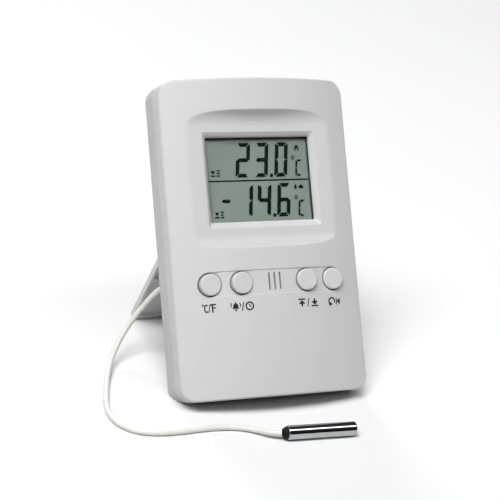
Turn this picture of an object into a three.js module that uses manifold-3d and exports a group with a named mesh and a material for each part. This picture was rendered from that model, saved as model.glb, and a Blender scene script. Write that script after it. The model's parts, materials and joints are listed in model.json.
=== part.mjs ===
// Digital maximum and minimum thermometer with a remote probe on a thin cable.
// Millimetres, +Z up. The case leans back on its fold-out stand, and the cable and probe lie in front of it.
// The origin is the middle of the footprint that case and stand share, on the surface they rest on.
//
// Inside the case group the axes are the case's own: x across it, y from front to back, z up along it.
// There, z = 0 is the bottom face and y = 0 is where the side walls meet the bowed front.

import * as THREE from "three";
import { mergeVertices } from "three/addons/utils/BufferGeometryUtils.js";
import Module from "manifold-3d";

const wasm = await Module();
wasm.setup();

// ---- driving dimensions ----

const CASE_WIDTH = 70;
const CASE_HEIGHT = 110;
const CORNER_RADIUS = 5.5;
const FACE_RADIUS = 95; // the front is a shallow cylinder about an upright axis
const WALL = 1.8;
const SEAM_Y = 5.4; // parting line between the two shells
const SEAM_GAP = 0.25;
const BACK_Y = 14.2;
const BACK_BEVEL = 2;
const GAP = 0.2; // clearance between fitted pieces

// Cutters and stock reach out to these, well clear of the case.
const IN_FRONT = -12;
const BEHIND = 20;
const BELOW = -5;
const ABOVE = 130;
const BESIDE = 40;

const LEAN = THREE.MathUtils.degToRad(30);
const LAND_Y = 7.5; // the slanted resting land starts here on the bottom face

const POCKET = { floorY: -2.9, low: 55.6, high: 95, lowCove: 4.5, highCove: 3.8 };
const OPENING = { halfWidth: 19.55, low: 60.44, high: 89.97, bevel: 1.5 };
const LIP_Y = -1.1; // back of the wall round the display opening
const BACKING = { halfWidth: 28.5, low: 49.3, high: 100.6 }; // thickened wall behind the pocket

const BUTTON_Z = 39.15;
const BUTTON_X = { units: -22.9, alert: -12.1, max_min: 12.1, reset: 22.9 };
const BUTTON_HOLE_R = 4.05;
const CAP = { r: 3.72, proud: 1.15, flangeR: 4.9, flangeThick: 0.8, stemR: 1.5 };
const BUTTON_TRAVEL = 0.7;
const GUIDE = { r: 5.3, startY: -5 }; // ring round each cap, inside the front
const GROOVE_DEPTH = 0.35;
const GROOVE_HALF_HEIGHT = 4.15;
const SLOT = { pitch: 2, width: 0.6, length: 6 };

// Plates of the display, back to front: cell, then window. The holder surrounds both.
const DISPLAY = { margin: 1.5, windowBackY: 0.1, cellFrontY: 0.3, cellBackY: 2.1 };
const HOLDER = { side: 4.2, end: 3.5, insideMargin: 1.8, backY: 4.6 };
const CONTACT_STRIP = { halfWidth: 19, halfHeight: 0.8, frontY: 2.4 };

const BOARD_Y = 5;
const BOARD_THICK = 1.2;
const BOARD = { halfWidth: 30.5, low: 31, high: 97.5, cornerR: 1.5, holeR: 1.15 };
const SWITCH = { half: 3, frontY: 2.4, stemR: 1.7, stemY: 1.8 };
const BUZZER = { r: 5.9, mouthR: 5.4, portR: 1.2, backY: 4.8, shoulderY: 1.4, frontY: 1.1, portY: 2 };
const CHIP_COVER = { r: 6.5, height: 1.5, z: 72 };
const CRYSTAL = { r: 1, length: 4.2, x: 18, z: 60, rise: 1.3 };
const AIR_SENSOR = { x: 7, beadR: 1.1, drop: 5.6, legPitch: 1.2, legHalf: 0.2 };

const BATTERY = { r: 5.1, length: 42.4, y: 4.6, z: 14.2 };
const BAY = { halfWidth: 24.4, low: 8.2, high: 20.2, wall: 0.8, floorY: -0.6 };
const BAY_NOSE = { halfWidth: 21, frontY: -1.5, floorY: -0.9, backY: 3 }; // follows the bow in the middle
const DOOR = { halfWidth: 25.7, low: 7.3, high: 21.6, innerY: 10, dimpleR: 1.6, dimpleHalf: 5 };
const DOOR_FRAME = { side: 1.4, below: 1.9, above: 1.6, frontY: 8.4, backY: 10.4 };
const SPRING = { wireR: 0.25, turns: 3, smallR: 2, grow: 1.6, length: 1.7 };
const CONTACT_PLATE = { halfHeight: 3.6, halfWidth: 4, thick: 0.4 };

const RECESS_Y = 11.2; // floor of the stand's recess
const RECESS_HALF_WIDTH = 28.3;
const RECESS_TOP_ABOVE_PIVOT = 2;
const PAN_WALL = 1.6; // wall of the pan that forms the recess
const STAND_HALF_WIDTH = 28;
const STAND_INNER_Y = 11.5;
const STAND_SKIN = 1.2;
const STAND_RIM = 1.3;
const STAND = { headRib: -2.6, ribTop: -31, ribBottom: -33.2, footRib: 4.2, cornerR: 3 }; // on its inner side
const PIVOT = { y: 12.6, z: 60.65, pinR: 1.1, pinLength: 1.3, holeR: 1.35, holeDepth: 1.7, barrelR: 1.3 };
const FLOOR_LAND = { frontY: 5, top: 4.4 }; // solid stock that the resting land is cut from
const OPEN_ANGLE = THREE.MathUtils.degToRad(63);

const CASE_SCREWS = [
  [-27, 103],
  [27, 103],
  [-24, 27],
  [24, 27],
];
const BOARD_SCREWS = [
  [-27.5, 52.5],
  [27.5, 52.5],
  [-27.5, 94],
  [27.5, 94],
];
const HEAD_SEAT_Y = 8.4;
const CASE_POST = { r: 2.6, startY: -2.4, pilotR: 1.25 };
const BOARD_POST = { r: 2.2, startY: -1.6, pilotR: 0.95 };
const PILOT_START_Y = 0.6;
const WELL = { r: 2.4, wallR: 3.2, floor: 1.5, shaftR: 1.35 };
const CASE_SCREW = { headR: 2.1, shaftR: 1, tipY: 1.2 };
const BOARD_SCREW = { headR: 1.9, shaftR: 0.75, tipY: 1 };

const KEYHOLE = { z: 91, r: 4, slotHalfWidth: 2.1, slotTop: 98.5 };
const VENT = { count: 5, halfWidth: 7, halfHeight: 0.6, middleZ: 76, pitch: 2.6 };

const CABLE_R = 1;
const TAIL_R = 0.9;
const WIRE_R = 0.45;
const CABLE_HOLE_R = 1.3;
const EXIT = { x: -31.5, z: 40.65 };
const NOSE_LENGTH = 4.4;
const LEAD_SOCKET = { left: -0.7, right: 5.3, low: 3.9, high: 7.5, backY: 9 };
const PROBE = { r: 2.45, length: 24.8, boreR: 2.1, left: [-5.9, -57.45], right: [18.9, -58.65] };

// The cable's centreline from the strain relief to the probe, in the object's own axes.
const CABLE_ROUTE = [
  [-31.5, 1.8, 29.5],
  [-31.5, 5, 27.3],
  [-32.4, 7.6, 24.2],
  [-34, 9.4, 20.6],
  [-36.3, 10.2, 16.7],
  [-39, 10.1, 12.8],
  [-41.9, 8.6, 9.3],
  [-44.7, 5.9, 6.3],
  [-47.2, 2.6, 4.1],
  [-49.4, -1.3, 2.6],
  [-51.4, -5.6, 1.6],
  [-53.2, -10, 1.15],
  [-54.8, -14.5, 1.1],
  [-56.3, -19, 1.1],
  [-57.8, -23.5, 1.1],
  [-58.9, -28, 1.1],
  [-59.4, -32.6, 1.1],
  [-59.1, -37.2, 1.1],
  [-57.4, -41.5, 1.1],
  [-54.2, -45, 1.1],
  [-50, -47.1, 1.1],
  [-45.4, -47.9, 1.1],
  [-40.6, -48, 1.1],
  [-35.8, -47.8, 1.1],
  [-31, -47.6, 1.1],
  [-26.3, -47.7, 1.1],
  [-21.8, -48.4, 1.1],
  [-17.6, -50, 1.2],
  [-14, -52.7, 1.5],
  [-11.2, -55.6, 2.1],
  [-7.8, -57.3, 2.45],
];

// ---- derived dimensions ----

const HALF_WIDTH = CASE_WIDTH / 2;
const FACE_CENTRE_Y = Math.sqrt(FACE_RADIUS ** 2 - HALF_WIDTH ** 2);
const faceY = (x) => FACE_CENTRE_Y - Math.sqrt(FACE_RADIUS ** 2 - x * x);

const OUTER_FACE_OFFSET = BACK_Y - PIVOT.y;
const STAND_LENGTH =
  (PIVOT.z +
    OUTER_FACE_OFFSET * Math.sin(OPEN_ANGLE) -
    Math.tan(LEAN) * (PIVOT.y + OUTER_FACE_OFFSET * Math.cos(OPEN_ANGLE) - LAND_Y)) /
  (Math.cos(OPEN_ANGLE) + Math.tan(LEAN) * Math.sin(OPEN_ANGLE));

// Where case y, z end up once the case leans, before the footprint is centred.
const leanedY = (y, z) => y * Math.cos(LEAN) + z * Math.sin(LEAN);
const FOOT_Y = PIVOT.y + OUTER_FACE_OFFSET * Math.cos(OPEN_ANGLE) + STAND_LENGTH * Math.sin(OPEN_ANGLE);
const FOOT_Z = PIVOT.z + OUTER_FACE_OFFSET * Math.sin(OPEN_ANGLE) - STAND_LENGTH * Math.cos(OPEN_ANGLE);
const FOOTPRINT_MIDDLE = (leanedY(faceY(0), 0) + leanedY(FOOT_Y, FOOT_Z)) / 2;

// ---- materials ----

const finish = (color, roughness, metalness = 0) =>
  new THREE.MeshStandardMaterial({ color, roughness, metalness });

const MATERIALS = {
  caseWhite: () => finish(0xdededf, 0.5),
  rearWhite: () => finish(0xd4d4d5, 0.55),
  capWhite: () => finish(0xe2e2e3, 0.42),
  clear: () => finish(0xdfe6e2, 0.08),
  display: () => finish(0x7b897f, 0.35),
  blackPlastic: () => finish(0x1c1d1e, 0.5),
  rubber: () => finish(0x3a3b3c, 0.8),
  board: () => finish(0x2f6b3c, 0.5),
  steel: () => finish(0xc4c7ca, 0.18, 1),
  screwSteel: () => finish(0x9b9da0, 0.35, 1),
  cable: () => finish(0xf0f0ea, 0.45),
  cell: () => finish(0x39607a, 0.4, 0.2),
  epoxy: () => finish(0x141414, 0.35),
  socket: () => finish(0xeeeadd, 0.5),
  redWire: () => finish(0xa3231d, 0.45),
  blackWire: () => finish(0x1a1a1a, 0.45),
};

// ---- closed solids and booleans ----

function signedVolume(position, index) {
  const a = new THREE.Vector3();
  const b = new THREE.Vector3();
  const c = new THREE.Vector3();
  let total = 0;
  for (let i = 0; i < index.length; i += 3) {
    a.fromBufferAttribute(position, index[i]);
    b.fromBufferAttribute(position, index[i + 1]);
    c.fromBufferAttribute(position, index[i + 2]);
    total += a.dot(b.cross(c));
  }
  return total / 6;
}

// Welds a geometry's vertices, drops collapsed triangles and turns its faces outwards.
function closed(source) {
  const bare = source.clone();
  bare.deleteAttribute("normal");
  bare.deleteAttribute("uv");
  const welded = mergeVertices(bare, 1e-4);
  const kept = [];
  const raw = welded.index.array;
  for (let i = 0; i < raw.length; i += 3) {
    const [a, b, c] = [raw[i], raw[i + 1], raw[i + 2]];
    if (a !== b && b !== c && c !== a) kept.push(a, b, c);
  }
  if (signedVolume(welded.attributes.position, kept) < 0) kept.reverse();
  welded.setIndex(kept);
  return welded;
}

function toSolid(geometry) {
  const ready = closed(geometry);
  return new wasm.Manifold(
    new wasm.Mesh({
      numProp: 3,
      vertProperties: new Float32Array(ready.attributes.position.array),
      triVerts: new Uint32Array(ready.index.array),
    }),
  );
}

function toGeometry(solid) {
  const mesh = solid.getMesh();
  const geometry = new THREE.BufferGeometry();
  geometry.setAttribute("position", new THREE.BufferAttribute(new Float32Array(mesh.vertProperties), 3));
  geometry.setIndex(new THREE.BufferAttribute(new Uint32Array(mesh.triVerts), 1));
  return geometry;
}

const join = (...geometries) =>
  toGeometry(geometries.map(toSolid).reduce((whole, next) => whole.add(next)));

const cut = (body, ...tools) =>
  toGeometry(tools.map(toSolid).reduce((whole, tool) => whole.subtract(tool), toSolid(body)));

const common = (a, b) => toGeometry(toSolid(a).intersect(toSolid(b)));

// ---- shape helpers ----

// A box given by its low and high corners.
function block([x0, y0, z0], [x1, y1, z1]) {
  const box = new THREE.BoxGeometry(x1 - x0, y1 - y0, z1 - z0);
  return box.translate((x0 + x1) / 2, (y0 + y1) / 2, (z0 + z1) / 2);
}

function roundedRect(halfWidth, low, high, radius) {
  const shape = new THREE.Shape();
  shape.moveTo(-halfWidth + radius, low);
  shape.absarc(halfWidth - radius, low + radius, radius, -Math.PI / 2, 0);
  shape.absarc(halfWidth - radius, high - radius, radius, 0, Math.PI / 2);
  shape.absarc(-halfWidth + radius, high - radius, radius, Math.PI / 2, Math.PI);
  shape.absarc(-halfWidth + radius, low + radius, radius, Math.PI, Math.PI * 1.5);
  return shape;
}

// Extrudes a shape drawn in x, z along y, from y0 to y1.
function alongY(shape, y0, y1, curveSegments = 3, bevel = null) {
  const geometry = new THREE.ExtrudeGeometry(shape, {
    depth: y1 - y0,
    bevelEnabled: bevel !== null,
    curveSegments,
    ...bevel,
  });
  return geometry.rotateX(Math.PI / 2).translate(0, y1, 0);
}

// Extrudes a shape drawn in y, z along x, from -halfWidth to halfWidth.
function alongX(shape, halfWidth, curveSegments = 4) {
  const geometry = new THREE.ExtrudeGeometry(shape, {
    depth: 2 * halfWidth,
    bevelEnabled: false,
    curveSegments,
  });
  geometry.rotateY(Math.PI / 2);
  geometry.rotateX(Math.PI / 2);
  return geometry.translate(-halfWidth, 0, 0);
}

// A turned piece about the y axis: pairs of radius and y, starting and ending on the axis.
function turned(profile, x, z, segments = 16) {
  const points = profile.map(([radius, y]) => new THREE.Vector2(radius, y));
  return new THREE.LatheGeometry(points, segments).translate(x, 0, z);
}

const rod = (radius, y0, y1, x, z, segments = 12) =>
  turned(
    [
      [0, y0],
      [radius, y0],
      [radius, y1],
      [0, y1],
    ],
    x,
    z,
    segments,
  );

// A rod about an axis along x.
function rodAlongX(radius, x0, x1, y, z, segments = 16) {
  const geometry = new THREE.CylinderGeometry(radius, radius, x1 - x0, segments);
  return geometry.rotateZ(Math.PI / 2).translate((x0 + x1) / 2, y, z);
}

// A full circle is divided into twice curveSegments.
function tube(points, radius, sides, steps) {
  const circle = new THREE.Shape();
  circle.absarc(0, 0, radius, 0, 2 * Math.PI);
  const path = new THREE.CatmullRomCurve3(points.map((p) => new THREE.Vector3(...p)));
  return new THREE.ExtrudeGeometry(circle, {
    steps,
    curveSegments: sides / 2,
    bevelEnabled: false,
    extrudePath: path,
  });
}

// Everything behind the bowed face, moved back by an inset.
function behindFace(inset) {
  const reach = 38;
  const steps = 20;
  const deep = 30;
  const overshoot = 10;
  const shape = new THREE.Shape();
  shape.moveTo(-reach, faceY(-reach) + inset);
  for (let i = 1; i <= steps; i += 1) {
    const x = -reach + (2 * reach * i) / steps;
    shape.lineTo(x, faceY(x) + inset);
  }
  shape.lineTo(reach, deep);
  shape.lineTo(-reach, deep);
  const depth = CASE_HEIGHT + 2 * overshoot;
  return new THREE.ExtrudeGeometry(shape, { depth, bevelEnabled: false }).translate(0, 0, -overshoot);
}

const group = new THREE.Group();
group.name = "thermometer";
const caseGroup = new THREE.Group();
caseGroup.name = "case";
caseGroup.rotation.x = -LEAN;
caseGroup.position.set(0, -FOOTPRINT_MIDDLE, LAND_Y * Math.sin(LEAN));
const standGroup = new THREE.Group();
standGroup.name = "stand_leaf";
standGroup.position.set(0, PIVOT.y, PIVOT.z);
standGroup.rotation.x = OPEN_ANGLE;
caseGroup.add(standGroup);
group.add(caseGroup);

function place(name, geometry, material, parent = caseGroup) {
  const mesh = new THREE.Mesh(closed(geometry), material());
  mesh.name = name;
  parent.add(mesh);
}

// ---- front shell ----

function pocketCutter() {
  const { floorY, low, high, lowCove, highCove } = POCKET;
  const shape = new THREE.Shape();
  shape.moveTo(floorY, low);
  shape.lineTo(floorY, high);
  shape.absarc(floorY - highCove, high, highCove, 0, Math.PI / 2);
  shape.lineTo(IN_FRONT, high + highCove);
  shape.lineTo(IN_FRONT, low - lowCove);
  shape.lineTo(floorY - lowCove, low - lowCove);
  shape.absarc(floorY - lowCove, low, lowCove, -Math.PI / 2, 0);
  return alongX(shape, BESIDE);
}

// The display opening widens towards the front by its bevel.
function openingCutter() {
  const { halfWidth, low, high, bevel } = OPENING;
  const hole = block([-halfWidth, -3, low], [halfWidth, 0, high]);
  const flare = new THREE.CylinderGeometry(1, 1, 1, 4, 1);
  flare.rotateY(Math.PI / 4);
  const position = flare.attributes.position;
  const middle = (low + high) / 2;
  const overshoot = 0.4;
  for (let i = 0; i < position.count; i += 1) {
    const front = position.getY(i) > 0;
    const grow = front ? bevel + overshoot : 0;
    const y = front ? POCKET.floorY - overshoot : POCKET.floorY + bevel;
    const sideX = Math.sign(Math.round(position.getX(i) * 4));
    const sideZ = Math.sign(Math.round(position.getZ(i) * 4));
    position.setXYZ(i, sideX * (halfWidth + grow), y, middle + sideZ * ((high - low) / 2 + grow));
  }
  return join(hole, flare);
}

function grooveCutter() {
  const reach = BUTTON_X.reset + GROOVE_HALF_HEIGHT;
  const outline = roundedRect(
    reach,
    BUTTON_Z - GROOVE_HALF_HEIGHT,
    BUTTON_Z + GROOVE_HALF_HEIGHT,
    GROOVE_HALF_HEIGHT - 0.01,
  );
  return cut(alongY(outline, IN_FRONT, 2, 4), behindFace(GROOVE_DEPTH));
}

function soundSlot(x) {
  const half = SLOT.width / 2;
  const outline = roundedRect(half, -SLOT.length / 2, SLOT.length / 2, half - 0.01);
  return alongY(outline, IN_FRONT, 0, 1).translate(x, 0, BUTTON_Z);
}

// Back of the guide ring round the cap at x.
const guideY = (x) => faceY(Math.abs(x) + GUIDE.r) + WALL + 0.1;

function frontShell() {
  const outline = roundedRect(HALF_WIDTH, 0, CASE_HEIGHT, CORNER_RADIUS);
  const inner = roundedRect(HALF_WIDTH - WALL, WALL, CASE_HEIGHT - WALL, CORNER_RADIUS - WALL);
  const outside = common(alongY(outline, IN_FRONT, SEAM_Y), behindFace(0));
  const backing = block([-BACKING.halfWidth, IN_FRONT, BACKING.low], [BACKING.halfWidth, LIP_Y, BACKING.high]);
  const hollow = cut(common(alongY(inner, IN_FRONT, -IN_FRONT), behindFace(WALL)), backing);
  const postEnd = HEAD_SEAT_Y - WELL.floor - 0.3;
  const bosses = CASE_SCREWS.map(([x, z]) => rod(CASE_POST.r, CASE_POST.startY, postEnd, x, z));
  const boardBosses = BOARD_SCREWS.map(([x, z]) => rod(BOARD_POST.r, BOARD_POST.startY, BOARD_Y - GAP, x, z));
  const guides = Object.values(BUTTON_X).map((x) => rod(GUIDE.r, GUIDE.startY, guideY(x), x, BUTTON_Z));
  const ribs = common(join(...guides, ...bosses, ...boardBosses), behindFace(0.5));
  const pilot = (r) => ([x, z]) => rod(r, PILOT_START_Y, -IN_FRONT, x, z, 8);
  const pilots = [...CASE_SCREWS.map(pilot(CASE_POST.pilotR)), ...BOARD_SCREWS.map(pilot(BOARD_POST.pilotR))];
  return cut(
    join(cut(outside, hollow), ribs),
    pocketCutter(),
    openingCutter(),
    grooveCutter(),
    ...Object.values(BUTTON_X).map((x) => rod(BUTTON_HOLE_R, IN_FRONT, 8, x, BUTTON_Z, 24)),
    ...[-1, 0, 1].map((k) => soundSlot(k * SLOT.pitch)),
    ...pilots,
  );
}

// ---- rear shell ----

// Everything under the plane that case and stand rest on.
function belowRestingPlane() {
  const run = 40;
  const deep = -20;
  const shape = new THREE.Shape();
  shape.moveTo(LAND_Y, 0);
  shape.lineTo(LAND_Y + run, run * Math.tan(LEAN));
  shape.lineTo(LAND_Y + run, deep);
  shape.lineTo(LAND_Y, deep);
  return alongX(shape, BESIDE + 10);
}

// Where cutters through the back wall start and end.
const THROUGH_BACK = { start: 11, end: 16 };

function keyholeCutter() {
  const { z, r, slotHalfWidth, slotTop } = KEYHOLE;
  const { start, end } = THROUGH_BACK;
  const slot = roundedRect(slotHalfWidth, z, slotTop, slotHalfWidth - 0.01);
  return join(rod(r, start, end, 0, z, 20), alongY(slot, start, end));
}

// The battery's bay: a tub behind the front wall whose middle comes further forward.
function bayWalls() {
  const { halfWidth, low, high, wall, floorY } = BAY;
  const noseHalf = BAY_NOSE.halfWidth + wall;
  return [
    block([-halfWidth - wall, floorY, low - wall], [halfWidth + wall, RECESS_Y - 1, high + wall]),
    block([-noseHalf, BAY_NOSE.frontY, low - wall], [noseHalf, BAY_NOSE.backY, high + wall]),
    block(
      [-DOOR.halfWidth - DOOR_FRAME.side, DOOR_FRAME.frontY, DOOR.low - DOOR_FRAME.below],
      [DOOR.halfWidth + DOOR_FRAME.side, DOOR_FRAME.backY, DOOR.high + DOOR_FRAME.above],
    ),
  ];
}

function bayCutters() {
  const { halfWidth, low, high, floorY } = BAY;
  return [
    block(
      [-DOOR.halfWidth - GAP, DOOR.innerY - GAP, DOOR.low - 0.5],
      [DOOR.halfWidth + GAP, BEHIND, DOOR.high + GAP],
    ),
    block([-halfWidth, floorY - GAP, low], [halfWidth, BEHIND, high]),
    block([-BAY_NOSE.halfWidth, BAY_NOSE.floorY, low], [BAY_NOSE.halfWidth, BAY_NOSE.backY, high]),
  ];
}

function vents() {
  const { count, halfWidth, halfHeight, middleZ, pitch } = VENT;
  return Array.from({ length: count }, (_, k) => {
    const slot = roundedRect(halfWidth, -halfHeight, halfHeight, halfHeight - 0.01);
    const z = middleZ + (k - (count - 1) / 2) * pitch;
    return alongY(slot, THROUGH_BACK.start, THROUGH_BACK.end, 1).translate(0, 0, z);
  });
}

function rearShell() {
  const bevel = { bevelThickness: BACK_BEVEL, bevelSize: BACK_BEVEL, bevelSegments: 2 };
  const outline = roundedRect(
    HALF_WIDTH - BACK_BEVEL,
    BACK_BEVEL,
    CASE_HEIGHT - BACK_BEVEL,
    CORNER_RADIUS - BACK_BEVEL,
  );
  const plug = alongY(outline, 0, BACK_Y - BACK_BEVEL, 3, bevel);
  const outside = common(plug, block([-BESIDE, SEAM_Y + SEAM_GAP, BELOW], [BESIDE, BEHIND, ABOVE]));
  const inner = roundedRect(HALF_WIDTH - WALL, WALL, CASE_HEIGHT - WALL, CORNER_RADIUS - WALL);
  const recessTop = PIVOT.z + RECESS_TOP_ABOVE_PIVOT;
  const panHalf = RECESS_HALF_WIDTH + PAN_WALL;
  const pan = block([-panHalf, RECESS_Y - PAN_WALL, BELOW], [panHalf, BEHIND, recessTop + PAN_WALL]);
  const floorLand = block([-BESIDE, FLOOR_LAND.frontY, BELOW], [BESIDE, BEHIND, FLOOR_LAND.top]);
  const hollow = cut(alongY(inner, 0, BACK_Y - WALL), pan, floorLand);
  const wells = CASE_SCREWS.map(([x, z]) => rod(WELL.wallR, HEAD_SEAT_Y - WELL.floor, BACK_Y - 1, x, z));
  const recess = block([-RECESS_HALF_WIDTH, RECESS_Y, BELOW], [RECESS_HALF_WIDTH, BEHIND, recessTop]);
  const pinReach = RECESS_HALF_WIDTH + PIVOT.holeDepth;
  return cut(
    join(cut(outside, hollow), ...wells, ...bayWalls()),
    belowRestingPlane(),
    recess,
    ...bayCutters(),
    keyholeCutter(),
    rodAlongX(PIVOT.holeR, -pinReach, pinReach, PIVOT.y, PIVOT.z, 12),
    rod(CABLE_HOLE_R, 8, THROUGH_BACK.end, EXIT.x, EXIT.z),
    ...vents(),
    ...CASE_SCREWS.map(([x, z]) => rod(WELL.r, HEAD_SEAT_Y, THROUGH_BACK.end, x, z)),
    ...CASE_SCREWS.map(([x, z]) => rod(WELL.shaftR, 5, THROUGH_BACK.end, x, z, 8)),
  );
}

// ---- display stack ----

function displayHolder() {
  const { halfWidth, low, high } = OPENING;
  const { side, end, backY, insideMargin } = HOLDER;
  const outer = block([-halfWidth - side, LIP_Y + GAP, low - end], [halfWidth + side, backY, high + end]);
  return cut(outer, displayPlate(-5, 8, insideMargin));
}

function displayPlate(y0, y1, margin = DISPLAY.margin) {
  const { halfWidth, low, high } = OPENING;
  return block([-halfWidth - margin, y0, low - margin], [halfWidth + margin, y1, high + margin]);
}

function contactStrip(z) {
  const { halfWidth, halfHeight, frontY } = CONTACT_STRIP;
  return block([-halfWidth, frontY, z - halfHeight], [halfWidth, BOARD_Y - GAP, z + halfHeight]);
}

// ---- board and what it carries ----

function circuitBoard() {
  const outline = roundedRect(BOARD.halfWidth, BOARD.low, BOARD.high, BOARD.cornerR);
  return cut(
    alongY(outline, BOARD_Y, BOARD_Y + BOARD_THICK, 1),
    ...BOARD_SCREWS.map(([x, z]) => rod(BOARD.holeR, 0, 10, x, z, 8)),
  );
}

function tactSwitch(x) {
  const { half, frontY, stemR, stemY } = SWITCH;
  const body = block([x - half, frontY, BUTTON_Z - half], [x + half, BOARD_Y - GAP, BUTTON_Z + half]);
  return join(body, rod(stemR, stemY, 3, x, BUTTON_Z));
}

function buttonCap(x) {
  const top = faceY(x) - CAP.proud;
  const flangeFront = guideY(x) + GAP;
  const flangeBack = flangeFront + CAP.flangeThick;
  const stemEnd = SWITCH.stemY - BUTTON_TRAVEL - 0.1;
  const profile = [
    [0, top],
    [CAP.r - 0.7, top + 0.15],
    [CAP.r, top + 0.85],
    [CAP.r, flangeFront],
    [CAP.flangeR, flangeFront],
    [CAP.flangeR, flangeBack],
    [CAP.stemR, flangeBack],
    [CAP.stemR, stemEnd],
    [0, stemEnd],
  ];
  return turned(profile, x, BUTTON_Z, 24);
}

function buzzer() {
  const { r, mouthR, portR, backY, shoulderY, frontY, portY } = BUZZER;
  const profile = [
    [0, backY],
    [r, backY],
    [r, shoulderY],
    [mouthR, frontY],
    [portR, frontY],
    [portR, portY],
    [0, portY],
  ];
  return turned(profile, 0, BUTTON_Z, 20);
}

function chipCover() {
  const back = BOARD_Y + BOARD_THICK + GAP;
  const { r, height, z } = CHIP_COVER;
  const profile = [
    [0, back],
    [r, back],
    [r - 0.6, back + 0.6],
    [r - 2.5, back + height - 0.3],
    [0, back + height],
  ];
  return turned(profile, 0, z);
}

function clockCrystal() {
  const { r, length, x, z, rise } = CRYSTAL;
  const can = new THREE.CapsuleGeometry(r, length, 2, 8);
  return can.rotateZ(Math.PI / 2).translate(x, BOARD_Y + BOARD_THICK + rise, z);
}

// A bead on two legs below the board's edge, in the air of the case.
function airSensor() {
  const { x, beadR, drop, legPitch, legHalf } = AIR_SENSOR;
  const y = BOARD_Y - 1.4;
  const bead = new THREE.SphereGeometry(beadR, 8, 6);
  bead.translate(x, y, BOARD.low - drop);
  const legs = [x - legPitch / 2, x + legPitch / 2].map((legX) =>
    block([legX - legHalf, y - legHalf, BOARD.low - drop + 0.2], [legX + legHalf, y + legHalf, BOARD.low + 3]),
  );
  return join(bead, ...legs);
}

function screw([x, z], headY, { headR, shaftR, tipY }) {
  const slotHalf = 0.25;
  const head = [
    [0, tipY],
    [shaftR, tipY + 1.2],
    [shaftR, headY],
    [headR, headY],
    [headR, headY + 0.9],
    [0, headY + 1.4],
  ];
  const arm = headR * 0.62;
  const crossY = headY + 0.75;
  return cut(
    turned(head, x, z, 10),
    block([x - arm, crossY, z - slotHalf], [x + arm, headY + 3, z + slotHalf]),
    block([x - slotHalf, crossY, z - arm], [x + slotHalf, headY + 3, z + arm]),
  );
}

// ---- battery and its contacts ----

function battery() {
  const { r, length, y, z } = BATTERY;
  const half = length / 2;
  const can = rodAlongX(r, -half, half, y, z, 24);
  const nub = rodAlongX(1.9, half - 0.5, half + 0.9, y, z, 12);
  return join(can, nub);
}

function springContact() {
  const { y, z } = BATTERY;
  const { wireR, turns, smallR, grow, length } = SPRING;
  const points = [];
  const stepsPerTurn = 10;
  const steps = turns * stepsPerTurn;
  const start = -BATTERY.length / 2 - 0.6;
  for (let i = 0; i <= steps; i += 1) {
    const angle = (2 * Math.PI * i) / stepsPerTurn;
    const share = i / steps;
    const radius = smallR + grow * share;
    points.push([start - length * share, y + radius * Math.cos(angle), z + radius * Math.sin(angle)]);
  }
  return tube(points, wireR, 6, steps);
}

function plateContact() {
  const { y, z } = BATTERY;
  const { halfHeight, halfWidth, thick } = CONTACT_PLATE;
  const x = BATTERY.length / 2 + 1.3;
  return block([x, y - halfHeight, z - halfWidth], [x + thick, y + halfHeight, z + halfWidth]);
}

// A wire from a contact's bay wall up to the board.
function batteryWire(side) {
  const x = side * (BAY.halfWidth + BAY.wall + 1.3);
  const route = [
    [x, 2, 12],
    [x, 2.4, 18.5],
    [x - side * 0.7, 2.7, 21.7],
    [x - side * 3.3, 3, 22.5],
    [x - side * 7.5, 3.4, 23.2],
    [x - side * 9.6, 3.8, 26.5],
    [x - side * 10, 4.1, 33],
  ];
  return tube(route, WIRE_R, 6, 10);
}

function batteryDoor() {
  const { halfWidth, low, high, innerY, dimpleR, dimpleHalf } = DOOR;
  const plate = block([-halfWidth, innerY, low], [halfWidth, RECESS_Y, high]);
  const dimple = rodAlongX(dimpleR, -dimpleHalf, dimpleHalf, RECESS_Y + 1.1, high - 2.6);
  return cut(plate, dimple);
}

// ---- stand, drawn folded flat with its pivot at the origin ----

function stand() {
  const outerY = BACK_Y - PIVOT.y;
  const innerY = STAND_INNER_Y - PIVOT.y;
  const top = 0.8;
  const footSlope = Math.tan(OPEN_ANGLE - LEAN);
  const chamfer = 0.4;
  const side = new THREE.Shape();
  side.moveTo(outerY, -STAND_LENGTH);
  side.lineTo(outerY, top - chamfer);
  side.lineTo(outerY - chamfer, top);
  side.lineTo(0, top);
  side.lineTo(innerY, -1);
  side.lineTo(innerY, -STAND_LENGTH + (outerY - innerY) * footSlope);
  const slab = alongX(side, STAND_HALF_WIDTH);
  const skinY = outerY - STAND_SKIN;
  const hollowHalf = STAND_HALF_WIDTH - STAND_RIM;
  const reach = 9;
  const bottom = -STAND_LENGTH;
  const cavity = (low, high) => block([-hollowHalf, -reach, low], [hollowHalf, skinY, high]);
  const { headRib, ribTop, ribBottom, footRib, cornerR } = STAND;
  const cavities = [cavity(ribTop, headRib), cavity(bottom + footRib, ribBottom)];
  const corners = [-1, 1].map((s) => {
    const x0 = s * (STAND_HALF_WIDTH - cornerR);
    const x1 = s * BESIDE;
    const square = block([Math.min(x0, x1), -reach, bottom - 2], [Math.max(x0, x1), reach, bottom + cornerR]);
    return cut(square, rod(cornerR, -reach - 1, reach + 1, x0, bottom + cornerR, 16));
  });
  const barrel = rodAlongX(PIVOT.barrelR, -STAND_HALF_WIDTH, STAND_HALF_WIDTH, 0, 0, 12);
  const pinReach = STAND_HALF_WIDTH + PIVOT.pinLength;
  const pins = rodAlongX(PIVOT.pinR, -pinReach, pinReach, 0, 0, 12);
  return join(cut(slab, ...cavities, ...corners), barrel, pins);
}

// ---- probe cable ----

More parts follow.
